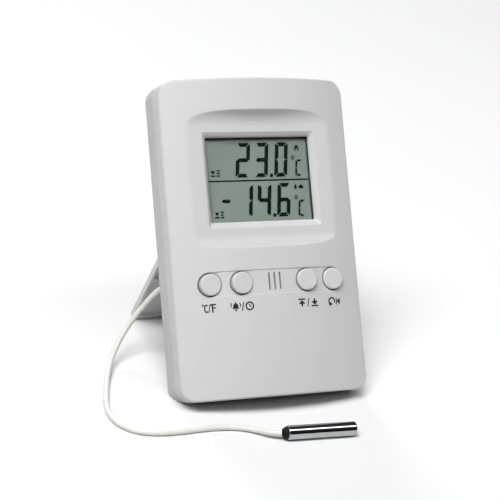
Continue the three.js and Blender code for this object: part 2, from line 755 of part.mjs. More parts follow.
function grommet() {
  const wallY = BACK_Y - WALL;
  const profile = [
    [0, wallY - 1.2],
    [1.5, wallY - 1.2],
    [1.5, wallY - GAP],
    [1.15, wallY - GAP],
    [1.15, BACK_Y + GAP],
    [1.8, BACK_Y + GAP],
    [1.8, BACK_Y + 0.9],
    [1.5, BACK_Y + 1.3],
    [1.15, BACK_Y + NOSE_LENGTH],
    [0, BACK_Y + NOSE_LENGTH],
  ];
  return turned(profile, EXIT.x, EXIT.z, 12);
}

function innerTail() {
  return tube(
    [
      [EXIT.x, 10.8, EXIT.z],
      [EXIT.x, 9.4, EXIT.z],
      [EXIT.x + 0.3, 8.3, EXIT.z + 0.4],
      [EXIT.x + 1.1, 7.8, EXIT.z + 1.4],
      [EXIT.x + 1.8, 7.7, EXIT.z + 3.5],
    ],
    TAIL_R,
    8,
    9,
  );
}

// The small socket on the board that the tail plugs into.
function leadSocket() {
  const { left, right, low, high, backY } = LEAD_SOCKET;
  return block([EXIT.x + left, BOARD_Y + BOARD_THICK + GAP, EXIT.z + low], [EXIT.x + right, backY, EXIT.z + high]);
}

const probeAxis = new THREE.Vector3(
  PROBE.right[0] - PROBE.left[0],
  PROBE.right[1] - PROBE.left[1],
  0,
).normalize();

// A turned piece along the probe: pairs of radius and distance from the open end.
function onProbe(profile, segments = 20) {
  const points = profile.map(([radius, t]) => new THREE.Vector2(radius, t));
  const geometry = new THREE.LatheGeometry(points, segments);
  geometry.rotateZ(-Math.PI / 2);
  geometry.rotateZ(Math.atan2(probeAxis.y, probeAxis.x));
  return geometry.translate(PROBE.left[0], PROBE.left[1], PROBE.r);
}

function probeSleeve() {
  const { r, length, boreR } = PROBE;
  return onProbe([
    [boreR, 0],
    [r - 0.25, 0],
    [r, 0.4],
    [r, length - 0.7],
    [r - 0.6, length],
    [0, length],
    [0, length - 1],
    [boreR, length - 1.6],
    [boreR, 0],
  ]);
}

function probeSeal() {
  return onProbe([
    [0, -1.5],
    [1.5, -1.5],
    [2.1, -0.9],
    [2.1, -GAP],
    [1.9, -GAP],
    [1.9, 4],
    [0, 4],
  ]);
}

function probeBead() {
  return onProbe(
    [
      [0, PROBE.length - 6],
      [0.9, PROBE.length - 5.4],
      [1.2, PROBE.length - 4],
      [0.9, PROBE.length - 2.6],
      [0, PROBE.length - 2.2],
    ],
    8,
  );
}

// ---- assembly ----

place("front_shell", frontShell(), MATERIALS.caseWhite);
place("rear_shell", rearShell(), MATERIALS.rearWhite);

place("lcd_holder", displayHolder(), MATERIALS.blackPlastic);
place("lcd_window", displayPlate(LIP_Y + GAP, DISPLAY.windowBackY), MATERIALS.clear);
place("lcd_cell", displayPlate(DISPLAY.cellFrontY, DISPLAY.cellBackY), MATERIALS.display);
place("contact_strip_low", contactStrip(OPENING.low), MATERIALS.rubber);
place("contact_strip_high", contactStrip(OPENING.high), MATERIALS.rubber);

place("circuit_board", circuitBoard(), MATERIALS.board);
for (const [name, x] of Object.entries(BUTTON_X)) {
  place(`button_${name}`, buttonCap(x), MATERIALS.capWhite);
  place(`switch_${name}`, tactSwitch(x), MATERIALS.blackPlastic);
}
place("buzzer", buzzer(), MATERIALS.blackPlastic);
place("chip_cover", chipCover(), MATERIALS.epoxy);
place("clock_crystal", clockCrystal(), MATERIALS.screwSteel);
place("air_sensor", airSensor(), MATERIALS.epoxy);
BOARD_SCREWS.forEach((spot, i) => {
  const headY = BOARD_Y + BOARD_THICK + GAP;
  place(`board_screw_${i + 1}`, screw(spot, headY, BOARD_SCREW), MATERIALS.screwSteel);
});
CASE_SCREWS.forEach((spot, i) => {
  place(`case_screw_${i + 1}`, screw(spot, HEAD_SEAT_Y + GAP, CASE_SCREW), MATERIALS.screwSteel);
});

place("battery", battery(), MATERIALS.cell);
place("spring_contact", springContact(), MATERIALS.steel);
place("plate_contact", plateContact(), MATERIALS.steel);
place("wire_red", batteryWire(1), MATERIALS.redWire);
place("wire_black", batteryWire(-1), MATERIALS.blackWire);
place("battery_door", batteryDoor(), MATERIALS.rearWhite);

place("stand", stand(), MATERIALS.rearWhite, standGroup);

place("cable_grommet", grommet(), MATERIALS.cable);
place("cable_tail", innerTail(), MATERIALS.cable);
place("lead_socket", leadSocket(), MATERIALS.socket);
place("probe_cable", tube(CABLE_ROUTE, CABLE_R, 8, 34), MATERIALS.cable, group);
place("probe_sleeve", probeSleeve(), MATERIALS.steel, group);
place("probe_seal", probeSeal(), MATERIALS.rubber, group);
place("probe_bead", probeBead(), MATERIALS.epoxy, group);

export default group;
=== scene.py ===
"""Looks of the digital maximum and minimum thermometer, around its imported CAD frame.

The case's own axes are used for its pieces: x across it, y from front to back, z up along it, in millimetres.
There, z = 0 is the bottom face and y = 0 is where the side walls meet the bowed front.
"""

import json
import math

import bmesh
import bpy
from mathutils import Matrix, Vector, kdtree
from mathutils.geometry import delaunay_2d_cdt


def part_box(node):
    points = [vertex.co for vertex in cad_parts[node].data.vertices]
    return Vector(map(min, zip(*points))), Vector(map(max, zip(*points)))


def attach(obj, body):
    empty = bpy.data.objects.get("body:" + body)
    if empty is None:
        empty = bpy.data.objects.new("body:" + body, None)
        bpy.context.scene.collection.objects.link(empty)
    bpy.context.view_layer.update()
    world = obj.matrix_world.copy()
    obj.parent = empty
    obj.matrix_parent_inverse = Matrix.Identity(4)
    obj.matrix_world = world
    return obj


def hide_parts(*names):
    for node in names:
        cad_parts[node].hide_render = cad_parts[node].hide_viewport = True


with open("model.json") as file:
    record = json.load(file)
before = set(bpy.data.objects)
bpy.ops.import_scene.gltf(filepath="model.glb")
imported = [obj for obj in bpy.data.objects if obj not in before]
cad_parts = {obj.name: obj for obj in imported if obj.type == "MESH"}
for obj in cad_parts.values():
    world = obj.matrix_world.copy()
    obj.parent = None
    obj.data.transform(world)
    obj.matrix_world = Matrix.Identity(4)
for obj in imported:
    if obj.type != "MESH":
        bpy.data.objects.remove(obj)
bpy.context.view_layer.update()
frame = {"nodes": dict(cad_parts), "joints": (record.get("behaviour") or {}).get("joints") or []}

# ---- driving dimensions, in millimetres ----

MM = 0.001
LEAN = math.radians(30)
OPEN_ANGLE = math.radians(63)
HINGE = Vector((0, 12.6, 60.65))

HALF_WIDTH = 35.0
HEIGHT = 110.0
CORNER_R = 5.5
FACE_R = 95.0
FACE_CENTRE_Y = math.sqrt(FACE_R**2 - HALF_WIDTH**2)
FACE_EDGE_R = 0.75
SEAM_Y = 5.4
SEAM_GAP = 0.25
SEAM_EDGE_R = 0.2
BACK_Y = 14.2
BACK_EDGE_R = 2.0
LAND_Y = 7.5

POCKET_Y = -2.9
# where each end of the pocket starts to curve up, how far along the curve runs, and how high it could rise
LOW_COVE = {"start": 55.6, "run": 4.5, "rise": 4.5}
HIGH_COVE = {"start": 93.9, "run": 4.9, "rise": 3.8}
PAST_COVE_SLOPE = 180
POCKET_SOFTNESS = 0.22

# the sloping frame round the display: outer rim, inner edge and the slope's drop
RIM = {"half": 21.05, "low": 58.35, "high": 91.6}
SIGHT = {"half": 19.55, "low": 60.44, "high": 89.97}
SLOPE_DROP = 1.45

GROOVE_Z = 39.15
GROOVE_HALF = 27.05
GROOVE_R = 4.15
GROOVE_DEPTH = 0.29
GROOVE_EDGE_R = 0.18
HOLE_R = 4.05
SLOT_PITCH, SLOT_HALF, SLOT_LENGTH = 2.0, 0.3, 6.0

RECESS_Y = 11.2
RECESS_HALF = 28.3
RECESS_TOP = HINGE.z + 2
RECESS_R = 1.0
REBATE_Y = 9.8
BAY_FLOOR_Y = -0.6
WELL_R = 2.4
WELL_Y = 8.4
VENT_Z = [76 + 2.6 * k for k in (-2, -1, 0, 1, 2)]

# ---- frames ----

hinge_at = Vector(next(j for j in frame["joints"] if j["name"] == "stand_hinge")["pos_m"])
CASE = (
    Matrix.Translation(hinge_at)
    @ Matrix.Rotation(-LEAN, 4, "X")
    @ Matrix.Scale(MM, 4)
    @ Matrix.Translation(-HINGE)
)
STAND = Matrix.Translation(hinge_at) @ Matrix.Rotation(OPEN_ANGLE - LEAN, 4, "X") @ Matrix.Scale(MM, 4)


def local_box(node, axes=CASE):
    """Lowest and highest corner of a CAD node in some piece's own axes, in millimetres."""
    inverse = axes.inverted()
    points = [inverse @ v.co for v in frame["nodes"][node].data.vertices]
    return (
        Vector([min(p[i] for p in points) for i in range(3)]),
        Vector([max(p[i] for p in points) for i in range(3)]),
    )


def local_middle(node, axes=CASE):
    low, high = local_box(node, axes)
    return (low + high) / 2


BUTTONS = {name: local_middle(f"button_{name}") for name in ("units", "alert", "max_min", "reset")}
SCREWS = [local_middle(f"case_screw_{i}") for i in (1, 2, 3, 4)]


def placed(name, data):
    obj = bpy.data.objects.new(name, data)
    bpy.context.scene.collection.objects.link(obj)
    return obj


# ---- camera ----


def add_camera():
    position = Vector((-0.22922, -0.4805, 0.26068))
    forward = Vector((0.39715, 0.83623, -0.37813)).normalized()
    right = Vector((0.91684, -0.37991, 0.12279))
    right = (right - forward * right.dot(forward)).normalized()
    up = right.cross(forward)
    camera = placed("camera", bpy.data.cameras.new("camera"))
    turned = Matrix((right, up, -forward)).transposed()
    camera.matrix_world = Matrix.Translation(position) @ turned.to_4x4()
    camera.data.sensor_width = 36
    camera.data.lens = 117.6
    camera.data.clip_start = 0.01
    bpy.context.scene.camera = camera


add_camera()

# ---- procedural materials ----


class Nodes:
    """A short way to write a node material."""

    def __init__(self, name):
        self.material = bpy.data.materials.new(name)
        self.material.use_nodes = True
        self.tree = self.material.node_tree
        self.shader = self.tree.nodes["Principled BSDF"]
        self.place = self.add("ShaderNodeTexCoord").outputs["Object"]

    def add(self, kind, **settings):
        node = self.tree.nodes.new(kind)
        for key, value in settings.items():
            if key in node.inputs:
                node.inputs[key].default_value = value
            else:
                setattr(node, key, value)
        return node

    def link(self, source, target):
        self.tree.links.new(source, target)

    def noise(self, size, detail=2.0, stretch=(1, 1, 1)):
        """A noise whose blobs are about size metres across."""
        mapping = self.add("ShaderNodeMapping", Scale=stretch)
        self.link(self.place, mapping.inputs["Vector"])
        node = self.add("ShaderNodeTexNoise", Scale=1 / size, Detail=detail)
        self.link(mapping.outputs["Vector"], node.inputs["Vector"])
        return node.outputs["Fac"]

    def span(self, value, low, high):
        """Maps the middle of a noise, 0.3 to 0.7, to a range."""
        node = self.add("ShaderNodeMapRange")
        for key, limit in (("From Min", 0.3), ("From Max", 0.7), ("To Min", low), ("To Max", high)):
            node.inputs[key].default_value = limit
        self.link(value, node.inputs["Value"])
        return node.outputs["Result"]

    def colour_between(self, value, first, second):
        node = self.add("ShaderNodeMix", data_type="RGBA")
        node.inputs["A"].default_value = (*first, 1)
        node.inputs["B"].default_value = (*second, 1)
        self.link(value, node.inputs["Factor"])
        return next(s for s in node.outputs if s.type == "RGBA")

    def mottled(self, noise, first, second):
        return self.colour_between(self.span(noise, 0, 1), first, second)

    def bump(self, height, distance, strength=1.0, after=None):
        node = self.add("ShaderNodeBump", Distance=distance, Strength=strength)
        self.link(height, node.inputs["Height"])
        if after is not None:
            self.link(after, node.inputs["Normal"])
        return node.outputs["Normal"]

    def finish(self, **values):
        """Links or sets the shader's inputs, with _ for each blank in a name, and gives the material."""
        for key, value in values.items():
            target = self.shader.inputs[key.replace("_", " ")]
            if isinstance(value, bpy.types.NodeSocket):
                self.link(value, target)
            else:
                target.default_value = value
        return self.material


def tinted(colour, factor):
    return tuple(c * factor for c in colour)


def surface(name, tones, gloss, relief=None, waves=None, stretch=(1, 1, 1), **settings):
    """A material led by noises, each given by the size of its blobs in metres, its detail and what it moves.

    tones moves between two colours and gloss between two roughnesses. relief and the slower waves under it have
    a height and a strength.
    """
    m = Nodes(name)
    settings["Base_Color"] = m.mottled(m.noise(*tones[:2]), *tones[2:])
    settings["Roughness"] = m.span(m.noise(*gloss[:2], stretch), *gloss[2:])
    if relief:
        under = m.bump(m.noise(*waves[:2]), *waves[2:]) if waves else None
        settings["Normal"] = m.bump(m.noise(*relief[:2], stretch), *relief[2:], under)
    return m.finish(**settings)


def moulded_plastic(name, colour, roughness, grain=0.00022, grain_height=0.000004):
    """Moulded plastic: a faint spark-eroded grain, slow mottling and a little wear in its gloss."""
    tones = (0.012, 3, tinted(colour, 0.98), colour)
    gloss = (0.004, 4, roughness - 0.04, roughness + 0.05)
    return surface(name, tones, gloss, (grain, 2, grain_height, 0.8), (0.009, 1, 0.00002, 0.35), IOR=1.5)


def rubber(name, colour):
    tones = (0.0015, 5, colour, tinted(colour, 1.5))
    return surface(name, tones, (0.0007, 3, 0.6, 0.82), (0.00018, 3, 0.000012, 1.0), Specular_IOR_Level=0.15)


def metal(name, colour, roughness, brush=(1, 1, 1), scratch=0.000002):
    """Plated or polished metal, its fine lines drawn out along the axis with the smallest brush value."""
    tones = (0.003, 3, tinted(colour, 0.93), colour)
    gloss = (0.0003, 3, max(roughness - 0.03, 0.02), roughness + 0.05)
    return surface(name, tones, gloss, (0.0003, 3, scratch, 0.6), stretch=brush, Metallic=1.0)


def soft_vinyl(name, colour, roughness=0.4):
    tones = (0.007, 4, tinted(colour, 0.955), colour)
    gloss = (0.0012, 3, roughness - 0.05, roughness + 0.07)
    return surface(name, tones, gloss, (0.0002, 2, 0.000004, 0.6), (0.003, 2, 0.00004, 0.5), IOR=1.52)


def display_back(name, colour):
    """The grey-green reflector behind the figures, with a fine tooth and a slow drift of tone."""
    tones = (0.02, 1, tinted(colour, 0.95), tinted(colour, 1.04))
    return surface(name, tones, (0.00025, 2, 0.42, 0.55), (0.00025, 2, 0.000004, 0.5), Specular_IOR_Level=0.15)


def print_ink(name, colour, gloss):
    tones = (0.0004, 3, colour, tinted(colour, 2.2))
    return surface(name, tones, (0.0003, 2, 0.45, 0.6), Specular_IOR_Level=gloss)


def clear_window(name):
    """Thin clear plastic that lets lamps through to the display."""
    m = Nodes(name)
    clear = m.add("ShaderNodeBsdfTransparent")
    mix = m.add("ShaderNodeMixShader")
    shadow = m.add("ShaderNodeLightPath").outputs["Is Shadow Ray"]
    for source, target in zip((shadow, m.shader.outputs[0], clear.outputs[0]), mix.inputs):
        m.link(source, target)
    m.link(mix.outputs[0], m.tree.nodes["Material Output"].inputs["Surface"])
    return m.finish(
        Base_Color=(0.97, 0.985, 0.975, 1),
        Roughness=0.06,
        Normal=m.bump(m.noise(0.006, 2), 0.00001, 0.3),
        IOR=1.45,
        Transmission_Weight=1.0,
    )


def circuit_mask(name):
    """Green solder mask with faint copper tracks under it."""
    m = Nodes(name)
    tracks = m.add("ShaderNodeTexBrick", Scale=260.0)
    tracks.inputs["Mortar Size"].default_value = 0.03
    tones = {"Color1": (0.012, 0.11, 0.035), "Color2": (0.016, 0.13, 0.045), "Mortar": (0.03, 0.2, 0.07)}
    for key, colour in tones.items():
        tracks.inputs[key].default_value = (*colour, 1)
    m.link(m.place, tracks.inputs["Vector"])
    return m.finish(
        Base_Color=tracks.outputs["Color"],
        Roughness=m.span(m.noise(0.001, 3), 0.3, 0.45),
        Normal=m.bump(tracks.outputs["Fac"], 0.00003, 0.5),
    )


def battery_wrap(name, band_start=0.0105):
    """Plain shrink sleeve: a dark body and a copper-coloured band at its right end."""
    m = Nodes(name)
    split = m.add("ShaderNodeSeparateXYZ")
    m.link(m.place, split.inputs["Vector"])
    band = m.add("ShaderNodeMath", operation="GREATER_THAN")
    band.inputs[1].default_value = band_start
    m.link(split.outputs["X"], band.inputs[0])
    return m.finish(
        Base_Color=m.colour_between(band.outputs["Value"], (0.02, 0.05, 0.09), (0.42, 0.2, 0.07)),
        Roughness=m.span(m.noise(0.002, 3), 0.22, 0.34),
        Normal=m.bump(m.noise(0.0006, 3), 0.00001, 0.5),
    )


WHITE = (0.5, 0.497, 0.5)
FRONT_PLASTIC = moulded_plastic("front_plastic", WHITE, 0.42)
# Painted shade: the front's white plastic made darker for the rear shell and its door, so that the side walls
# look shaded.
REAR_PLASTIC_PAINTED_SHADE = moulded_plastic("rear_plastic_painted_shade", tinted(WHITE, 0.88), 0.48, grain=0.0003, grain_height=0.000007)
# Painted light: the same white plastic made lighter, to brighten the stand's shaded inner face.
STAND_PLASTIC_PAINTED_LIGHT = moulded_plastic("stand_plastic_painted_light", tinted(WHITE, 1.12), 0.48, grain=0.0003, grain_height=0.000007)
CAP_PLASTIC = moulded_plastic("cap_plastic", tinted(WHITE, 1.03), 0.33, grain_height=0.000002)
DARK_PLASTIC = moulded_plastic("dark_plastic", (0.012, 0.013, 0.013), 0.42)
DARK_RUBBER = rubber("dark_rubber", (0.008, 0.008, 0.0085))
DISPLAY_BACK = display_back("display_back", (0.125, 0.148, 0.13))
DISPLAY_MARK = print_ink("display_mark", (0.002, 0.004, 0.003), 0.0)
PRINT_INK = print_ink("print_ink", (0.009, 0.009, 0.01), 0.2)
CLEAR_WINDOW = clear_window("clear_window")
PROBE_STEEL = metal("probe_steel", (0.47, 0.475, 0.48), 0.09, brush=(1, 12, 12), scratch=0.0000003)
ZINC_STEEL = metal("zinc_steel", (0.55, 0.56, 0.58), 0.28)
CABLE_VINYL = soft_vinyl("cable_vinyl", (0.66, 0.66, 0.625))
RED_VINYL = soft_vinyl("red_vinyl", (0.4, 0.02, 0.015))
SOCKET_PLASTIC = moulded_plastic("socket_plastic", (0.72, 0.68, 0.56), 0.4)
BOARD_MASK = circuit_mask("board_mask")
BATTERY_WRAP = battery_wrap("battery_wrap")

CAD_MATERIALS = {
    DARK_PLASTIC: ["lcd_holder", "buzzer", "chip_cover", "air_sensor", "wire_black", "probe_bead"]
    + [f"switch_{name}" for name in BUTTONS],
    DARK_RUBBER: ["contact_strip_low", "contact_strip_high"],
    BOARD_MASK: ["circuit_board"],
    ZINC_STEEL: ["clock_crystal", "spring_contact", "plate_contact"]
    + [f"board_screw_{i}" for i in (1, 2, 3, 4)],
    BATTERY_WRAP: ["battery"],
    RED_VINYL: ["wire_red"],
    CABLE_VINYL: ["cable_tail"],
    SOCKET_PLASTIC: ["lead_socket"],
}

for material, nodes in CAD_MATERIALS.items():
    for node in nodes:
        mesh = frame["nodes"][node].data
        mesh.materials.clear()
        mesh.materials.append(material)

# ---- mesh helpers ----


def mesh_of(name, bm):
    mesh = bpy.data.meshes.new(name)
    bm.to_mesh(mesh)
    bm.free()
    return mesh


def piece(name, bm, material, node=None, body="case", axes=CASE, smooth=True):
    """Makes a bmesh drawn in some axes an object that rides on a CAD body. node is the CAD node it stands for."""
    bm.transform(axes)
    mesh = mesh_of(name, bm)
    mesh.polygons.foreach_set("use_smooth", [smooth] * len(mesh.polygons))
    mesh.materials.append(material)
    obj = placed(name, mesh)
    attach(obj, body)
    if node:
        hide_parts(node)
    return obj


def weighted(obj):
    """Lets the large faces set the shading next to narrow rounded edges."""
    modifier = obj.modifiers.new("weighted", "WEIGHTED_NORMAL")
    modifier.mode = "FACE_AREA"
    modifier.weight = 80
    modifier.keep_sharp = True
    return obj


def divided(points, step, closed=True):
    """Adds points so that no two neighbours are further apart than step."""
    result = []
    last = len(points) if closed else len(points) - 1
    for i in range(last):
        a, b = Vector(points[i]), Vector(points[(i + 1) % len(points)])
        count = max(1, math.ceil((b - a).length / step - 1e-6))
        result.extend(a.lerp(b, k / count) for k in range(count))
    if not closed:
        result.append(Vector(points[-1]))
    return result


def line_across(half, z, step):
    return divided([(-half, z), (half, z)], step, closed=False)


def round_corners(corners, step):
    """A closed row of points. Each corner has a centre, a radius, a first angle and a number of steps."""
    points = []
    for cx, cz, r, start, count in corners:
        for i in range(count + 1):
            angle = math.radians(start + 90 * i / count)
            point = Vector((cx + r * math.cos(angle), cz + r * math.sin(angle)))
            if not points or (point - points[-1]).length > 1e-4:
                points.append(point)
    if (points[0] - points[-1]).length < 1e-4:
        points.pop()
    return divided(points, step)


class Rounded:
    """A rounded rectangle in the x, z plan."""

    def __init__(self, half, low, high, r, x=0.0):
        self.half, self.low, self.high, self.r, self.x = half, low, high, r, x

    def distance(self, x, z):
        """Signed distance to the outline, negative inside."""
        across = abs(x - self.x) - (self.half - self.r)
        along = abs(z - (self.low + self.high) / 2) - ((self.high - self.low) / 2 - self.r)
        outside = math.hypot(max(across, 0), max(along, 0))
        return outside + min(max(across, along), 0) - self.r

    def ring(self, s=0.0, step=1.2, arc_step=0.45):
        """The outline moved outwards by s."""
        half, low, high = self.half + s, self.low - s, self.high + s
        r = max(min(self.r + s, half, (high - low) / 2), 0.02)
        count = max(2, math.ceil(r * math.pi / 2 / arc_step))
        left, right = self.x + (r - half), self.x + (half - r)
        corners = [(right, low + r, -90), (right, high - r, 0), (left, high - r, 90), (left, low + r, 180)]
        return round_corners([(cx, cz, r, start, count) for cx, cz, start in corners], step)


def round_hole(centre, r):
    return Rounded(r, centre.z - r, centre.z + r, r, centre.x)


def edge_drop(s, e):
    """How far a rounded edge of radius e has dropped at s inside it."""
    if s >= e:
        return 0.0
    return e - math.sqrt(max(e * e - (e - max(s, 0)) ** 2, 0))


def edge_offsets(e, angles):
    """The distances inside an edge of radius e where its profile has these angles."""
    return [e * (1 - math.sin(math.radians(a))) for a in angles]


FOOT_TOLERANCE = 0.004


class Sunk:
    """A sunk area of a face: its outlines, its depth and the radius of its rounded brim.

    steep is how much deeper its wall gets for each millimetre inwards. around is the distance of a ring of points
    on the flat face round it, and 0 leaves that ring out.
    """

    def __init__(self, outlines, depth, brim, steep=60.0, around=None, **spacing):
        self.outlines, self.depth, self.brim, self.steep, self.spacing = outlines, depth, brim, steep, spacing
        around = brim + 0.35 if around is None else around
        self.foot = -(depth - brim) / steep
        self.offsets = ([around] if around else []) + edge_offsets(brim, (0, 22, 45, 67, 90)) + [self.foot]

    def distance(self, x, z):
        return min(outline.distance(x, z) for outline in self.outlines)

    def drop(self, x, z):
        s = self.distance(x, z)
        return min(self.depth, edge_drop(s, self.brim) if s >= 0 else self.brim - s * self.steep)

    def rings(self):
        """The rows of points that its profile needs."""
        return [outline.ring(s, **self.spacing) for outline in self.outlines for s in self.offsets]

    def at_foot(self, x, z):
        return self.distance(x, z) < self.foot + FOOT_TOLERANCE


def softer_max(a, b, k):
    return 0.5 * (a + b + math.sqrt((a - b) ** 2 + k * k))


def nowhere(x, z):
    return False


def skin(loops, lines, height, low, high, spacing, dropped, towards):
    """A triangulated sheet over the x, z plan whose y is height(x, z).

    loops and lines are closed and open rows of plan points that the triangles keep to. dropped(x, z) is true on
    the innermost outline of an opening, whose inside is left out. towards is the side it faces, -1 or 1 along y.
    """
    plan, edges = [], []
    for points, closed in [(p, True) for p in loops] + [(p, False) for p in lines]:
        start = len(plan)
        plan.extend(Vector(p) for p in points)
        count = len(points)
        edges.extend((start + i, start + (i + 1) % count) for i in range(count if closed else count - 1))
    near = kdtree.KDTree(len(plan))
    for i, p in enumerate(plan):
        near.insert((p.x, p.y, 0), i)
    near.balance()
    columns = math.floor((high[0] - low[0]) / spacing)
    rows = math.floor((high[1] - low[1]) / spacing)
    for i in range(columns + 1):
        for j in range(rows + 1):
            x = low[0] + (high[0] - low[0]) * i / columns
            z = low[1] + (high[1] - low[1]) * j / rows
            if near.find((x, z, 0))[2] > 0.55 * spacing:
                plan.append(Vector((x, z)))
    points, _, faces = delaunay_2d_cdt(plan, edges, [], 1, 1e-5)[:3]
    bm = bmesh.new()
    verts = [bm.verts.new((p.x, height(p.x, p.y), p.y)) for p in points]
    gone = [dropped(p.x, p.y) for p in points]
    for face in faces:
        if all(gone[i] for i in face):
            continue
        order = face if towards < 0 else face[::-1]
        bm.faces.new([verts[i] for i in order])
    loose = [v for v in bm.verts if not v.link_faces]
    bmesh.ops.delete(bm, geom=loose, context="VERTS")
    return bm


def extend(bm, chosen, steps):
    """Extrudes the open edges that lie where chosen(x, z) is true. Each step maps a point to the next one."""
    edges = [e for e in bm.edges if e.is_boundary and all(chosen(v.co.x, v.co.z) for v in e.verts)]
    for step in steps:
        made = bmesh.ops.extrude_edge_only(bm, edges=edges)["geom"]
        for v in made:
            if isinstance(v, bmesh.types.BMVert):
                v.co = step(v.co)
        edges = [e for e in made if isinstance(e, bmesh.types.BMEdge) and e.is_boundary]
    return edges


def inwards(distance, by, y):
    """A step that moves a point into an outline by some millimetres and to a given y."""
    tiny = 0.01

    def moved(co):
        gx = distance(co.x + tiny, co.z) - distance(co.x - tiny, co.z)
        gz = distance(co.x, co.z + tiny) - distance(co.x, co.z - tiny)
        size = math.hypot(gx, gz) or 1.0
        return Vector((co.x - by * gx / size, y, co.z - by * gz / size))

    return moved


def turned(profile, segments, bm=None, centre=(0, 0), axis="Y"):
    """A lathed surface: pairs of radius and place along the axis. A radius of 0 closes an end."""
    bm = bm or bmesh.new()
    rows = []
    for radius, along in profile:
        count = 1 if radius == 0 else segments
        row = []
        for i in range(count):
            angle = 2 * math.pi * i / segments
            u, v = radius * math.cos(angle), radius * math.sin(angle)
            if axis == "Y":
                place = (centre[0] + u, along, centre[1] + v)
            else:
                place = (along, centre[0] + u, centre[1] + v)
            row.append(bm.verts.new(place))
        rows.append(row)
    for a, b in zip(rows, rows[1:]):
        for i in range(segments):
            j = (i + 1) % segments
            corners = [a[i % len(a)], a[j % len(a)], b[j % len(b)], b[i % len(b)]]
            unique = list(dict.fromkeys(corners))
            if len(unique) > 2:
                bm.faces.new(unique)
    bmesh.ops.recalc_face_normals(bm, faces=bm.faces)
    return bm


def arc(centre_radius, centre_along, r, start, end, count):
    """Profile points on an arc, angles in degrees from the outward radius towards the axis direction."""
    angles = [math.radians(start + (end - start) * i / count) for i in range(count + 1)]
    return [(centre_radius + r * math.cos(a), centre_along + r * math.sin(a)) for a in angles]


# ---- cable, from the strain relief to the probe ----

# Its centreline, in metres in the frame's own axes.
CABLE_ROUTE = [
    (-0.0315, 0.0018, 0.0295), (-0.0315, 0.005, 0.0273), (-0.0324, 0.0076, 0.0242),
    (-0.034, 0.0094, 0.0206), (-0.0363, 0.0102, 0.0167), (-0.039, 0.0101, 0.0128),
    (-0.0419, 0.0086, 0.0093), (-0.0447, 0.0059, 0.0063), (-0.0472, 0.0026, 0.0041),
    (-0.0494, -0.0013, 0.0026), (-0.0514, -0.0056, 0.0016), (-0.0532, -0.01, 0.00115),
    (-0.0548, -0.0145, 0.0011), (-0.0563, -0.019, 0.0011), (-0.0578, -0.0235, 0.0011),
    (-0.0589, -0.028, 0.0011), (-0.0594, -0.0326, 0.0011), (-0.0591, -0.0372, 0.0011),
    (-0.0574, -0.0415, 0.0011), (-0.0542, -0.045, 0.0011), (-0.05, -0.0471, 0.0011),
    (-0.0454, -0.0479, 0.0011), (-0.0406, -0.048, 0.0011), (-0.0358, -0.0478, 0.0011),
    (-0.031, -0.0476, 0.0011), (-0.0263, -0.0477, 0.0011), (-0.0218, -0.0484, 0.0011),
    (-0.0176, -0.05, 0.0012), (-0.014, -0.0527, 0.0015), (-0.0112, -0.0556, 0.0021),
    (-0.0078, -0.0573, 0.00245),
]
CABLE_DIAMETER = 0.002


def add_cable():
    curve = bpy.data.curves.new("cable", "CURVE")
    curve.dimensions = "3D"
    spline = curve.splines.new("BEZIER")
    spline.bezier_points.add(len(CABLE_ROUTE) - 1)
    for point, place in zip(spline.bezier_points, CABLE_ROUTE):
        point.co = place
        point.handle_left_type = point.handle_right_type = "AUTO"
    curve.resolution_u = 8
    curve.bevel_depth = CABLE_DIAMETER / 2
    curve.bevel_resolution = 7
    curve.use_fill_caps = True
    curve.materials.append(CABLE_VINYL)
    cable = placed("cable", curve)
    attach(cable, "case")
    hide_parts("probe_cable")
    return cable


PROBE_R = 2.45
PROBE_LENGTH = 24.8
# the two ends of its axis on the floor, in millimetres in the frame's own axes
PROBE_OPEN_END = (-5.9, -57.45)
PROBE_TIP = (18.9, -58.65)


def add_probe():
    """The tube and its collar, drawn with x along the probe from its open end."""
    low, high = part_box("probe_sleeve")
    dx, dy = PROBE_TIP[0] - PROBE_OPEN_END[0], PROBE_TIP[1] - PROBE_OPEN_END[1]
    start = Vector((PROBE_OPEN_END[0] * MM, PROBE_OPEN_END[1] * MM, (high.z - low.z) / 2))
    axes = Matrix.Translation(start) @ Matrix.Rotation(math.atan2(dy, dx), 4, "Z") @ Matrix.Scale(MM, 4)
    r, length, bore = PROBE_R, PROBE_LENGTH, 2.1
    sleeve = [
        (bore, 1.2), (bore, 0.12), (bore + 0.06, 0), *arc(r - 0.3, 0.3, 0.3, -90, 0, 4), (r, 0.6), (r, 2.2),
        (r, 12), (r, length - 1.6), (r, length - 0.95), *arc(r - 0.5, length - 0.75, 0.5, 0, 40, 3),
        (r - 0.5, length - 0.1), (r - 0.85, length), (0.6, length), (0, length),
    ]
    collar = [
        (0, -1.5), (1.05, -1.5), *arc(1.35, -1.2, 0.3, -90, -20, 3), (1.95, -0.62),
        *arc(1.85, -0.45, 0.25, -20, 60, 3), (1.98, -0.05), (1.98, 0.6), (0, 0.6),
    ]
    tube, seal = turned(sleeve, 56, axis="X"), turned(collar, 40, axis="X")
    return [
        weighted(piece("probe_tube", tube, PROBE_STEEL, "probe_sleeve", axes=axes)),
        piece("probe_collar", seal, DARK_RUBBER, "probe_seal", axes=axes),
    ]


cable = add_cable()
probe_pieces = add_probe()
grommet_low, grommet_high = local_box("cable_grommet")
NOSE = (grommet_low + grommet_high) / 2
NOSE.y = grommet_high.y

# ---- outlines and sunk areas of the case ----

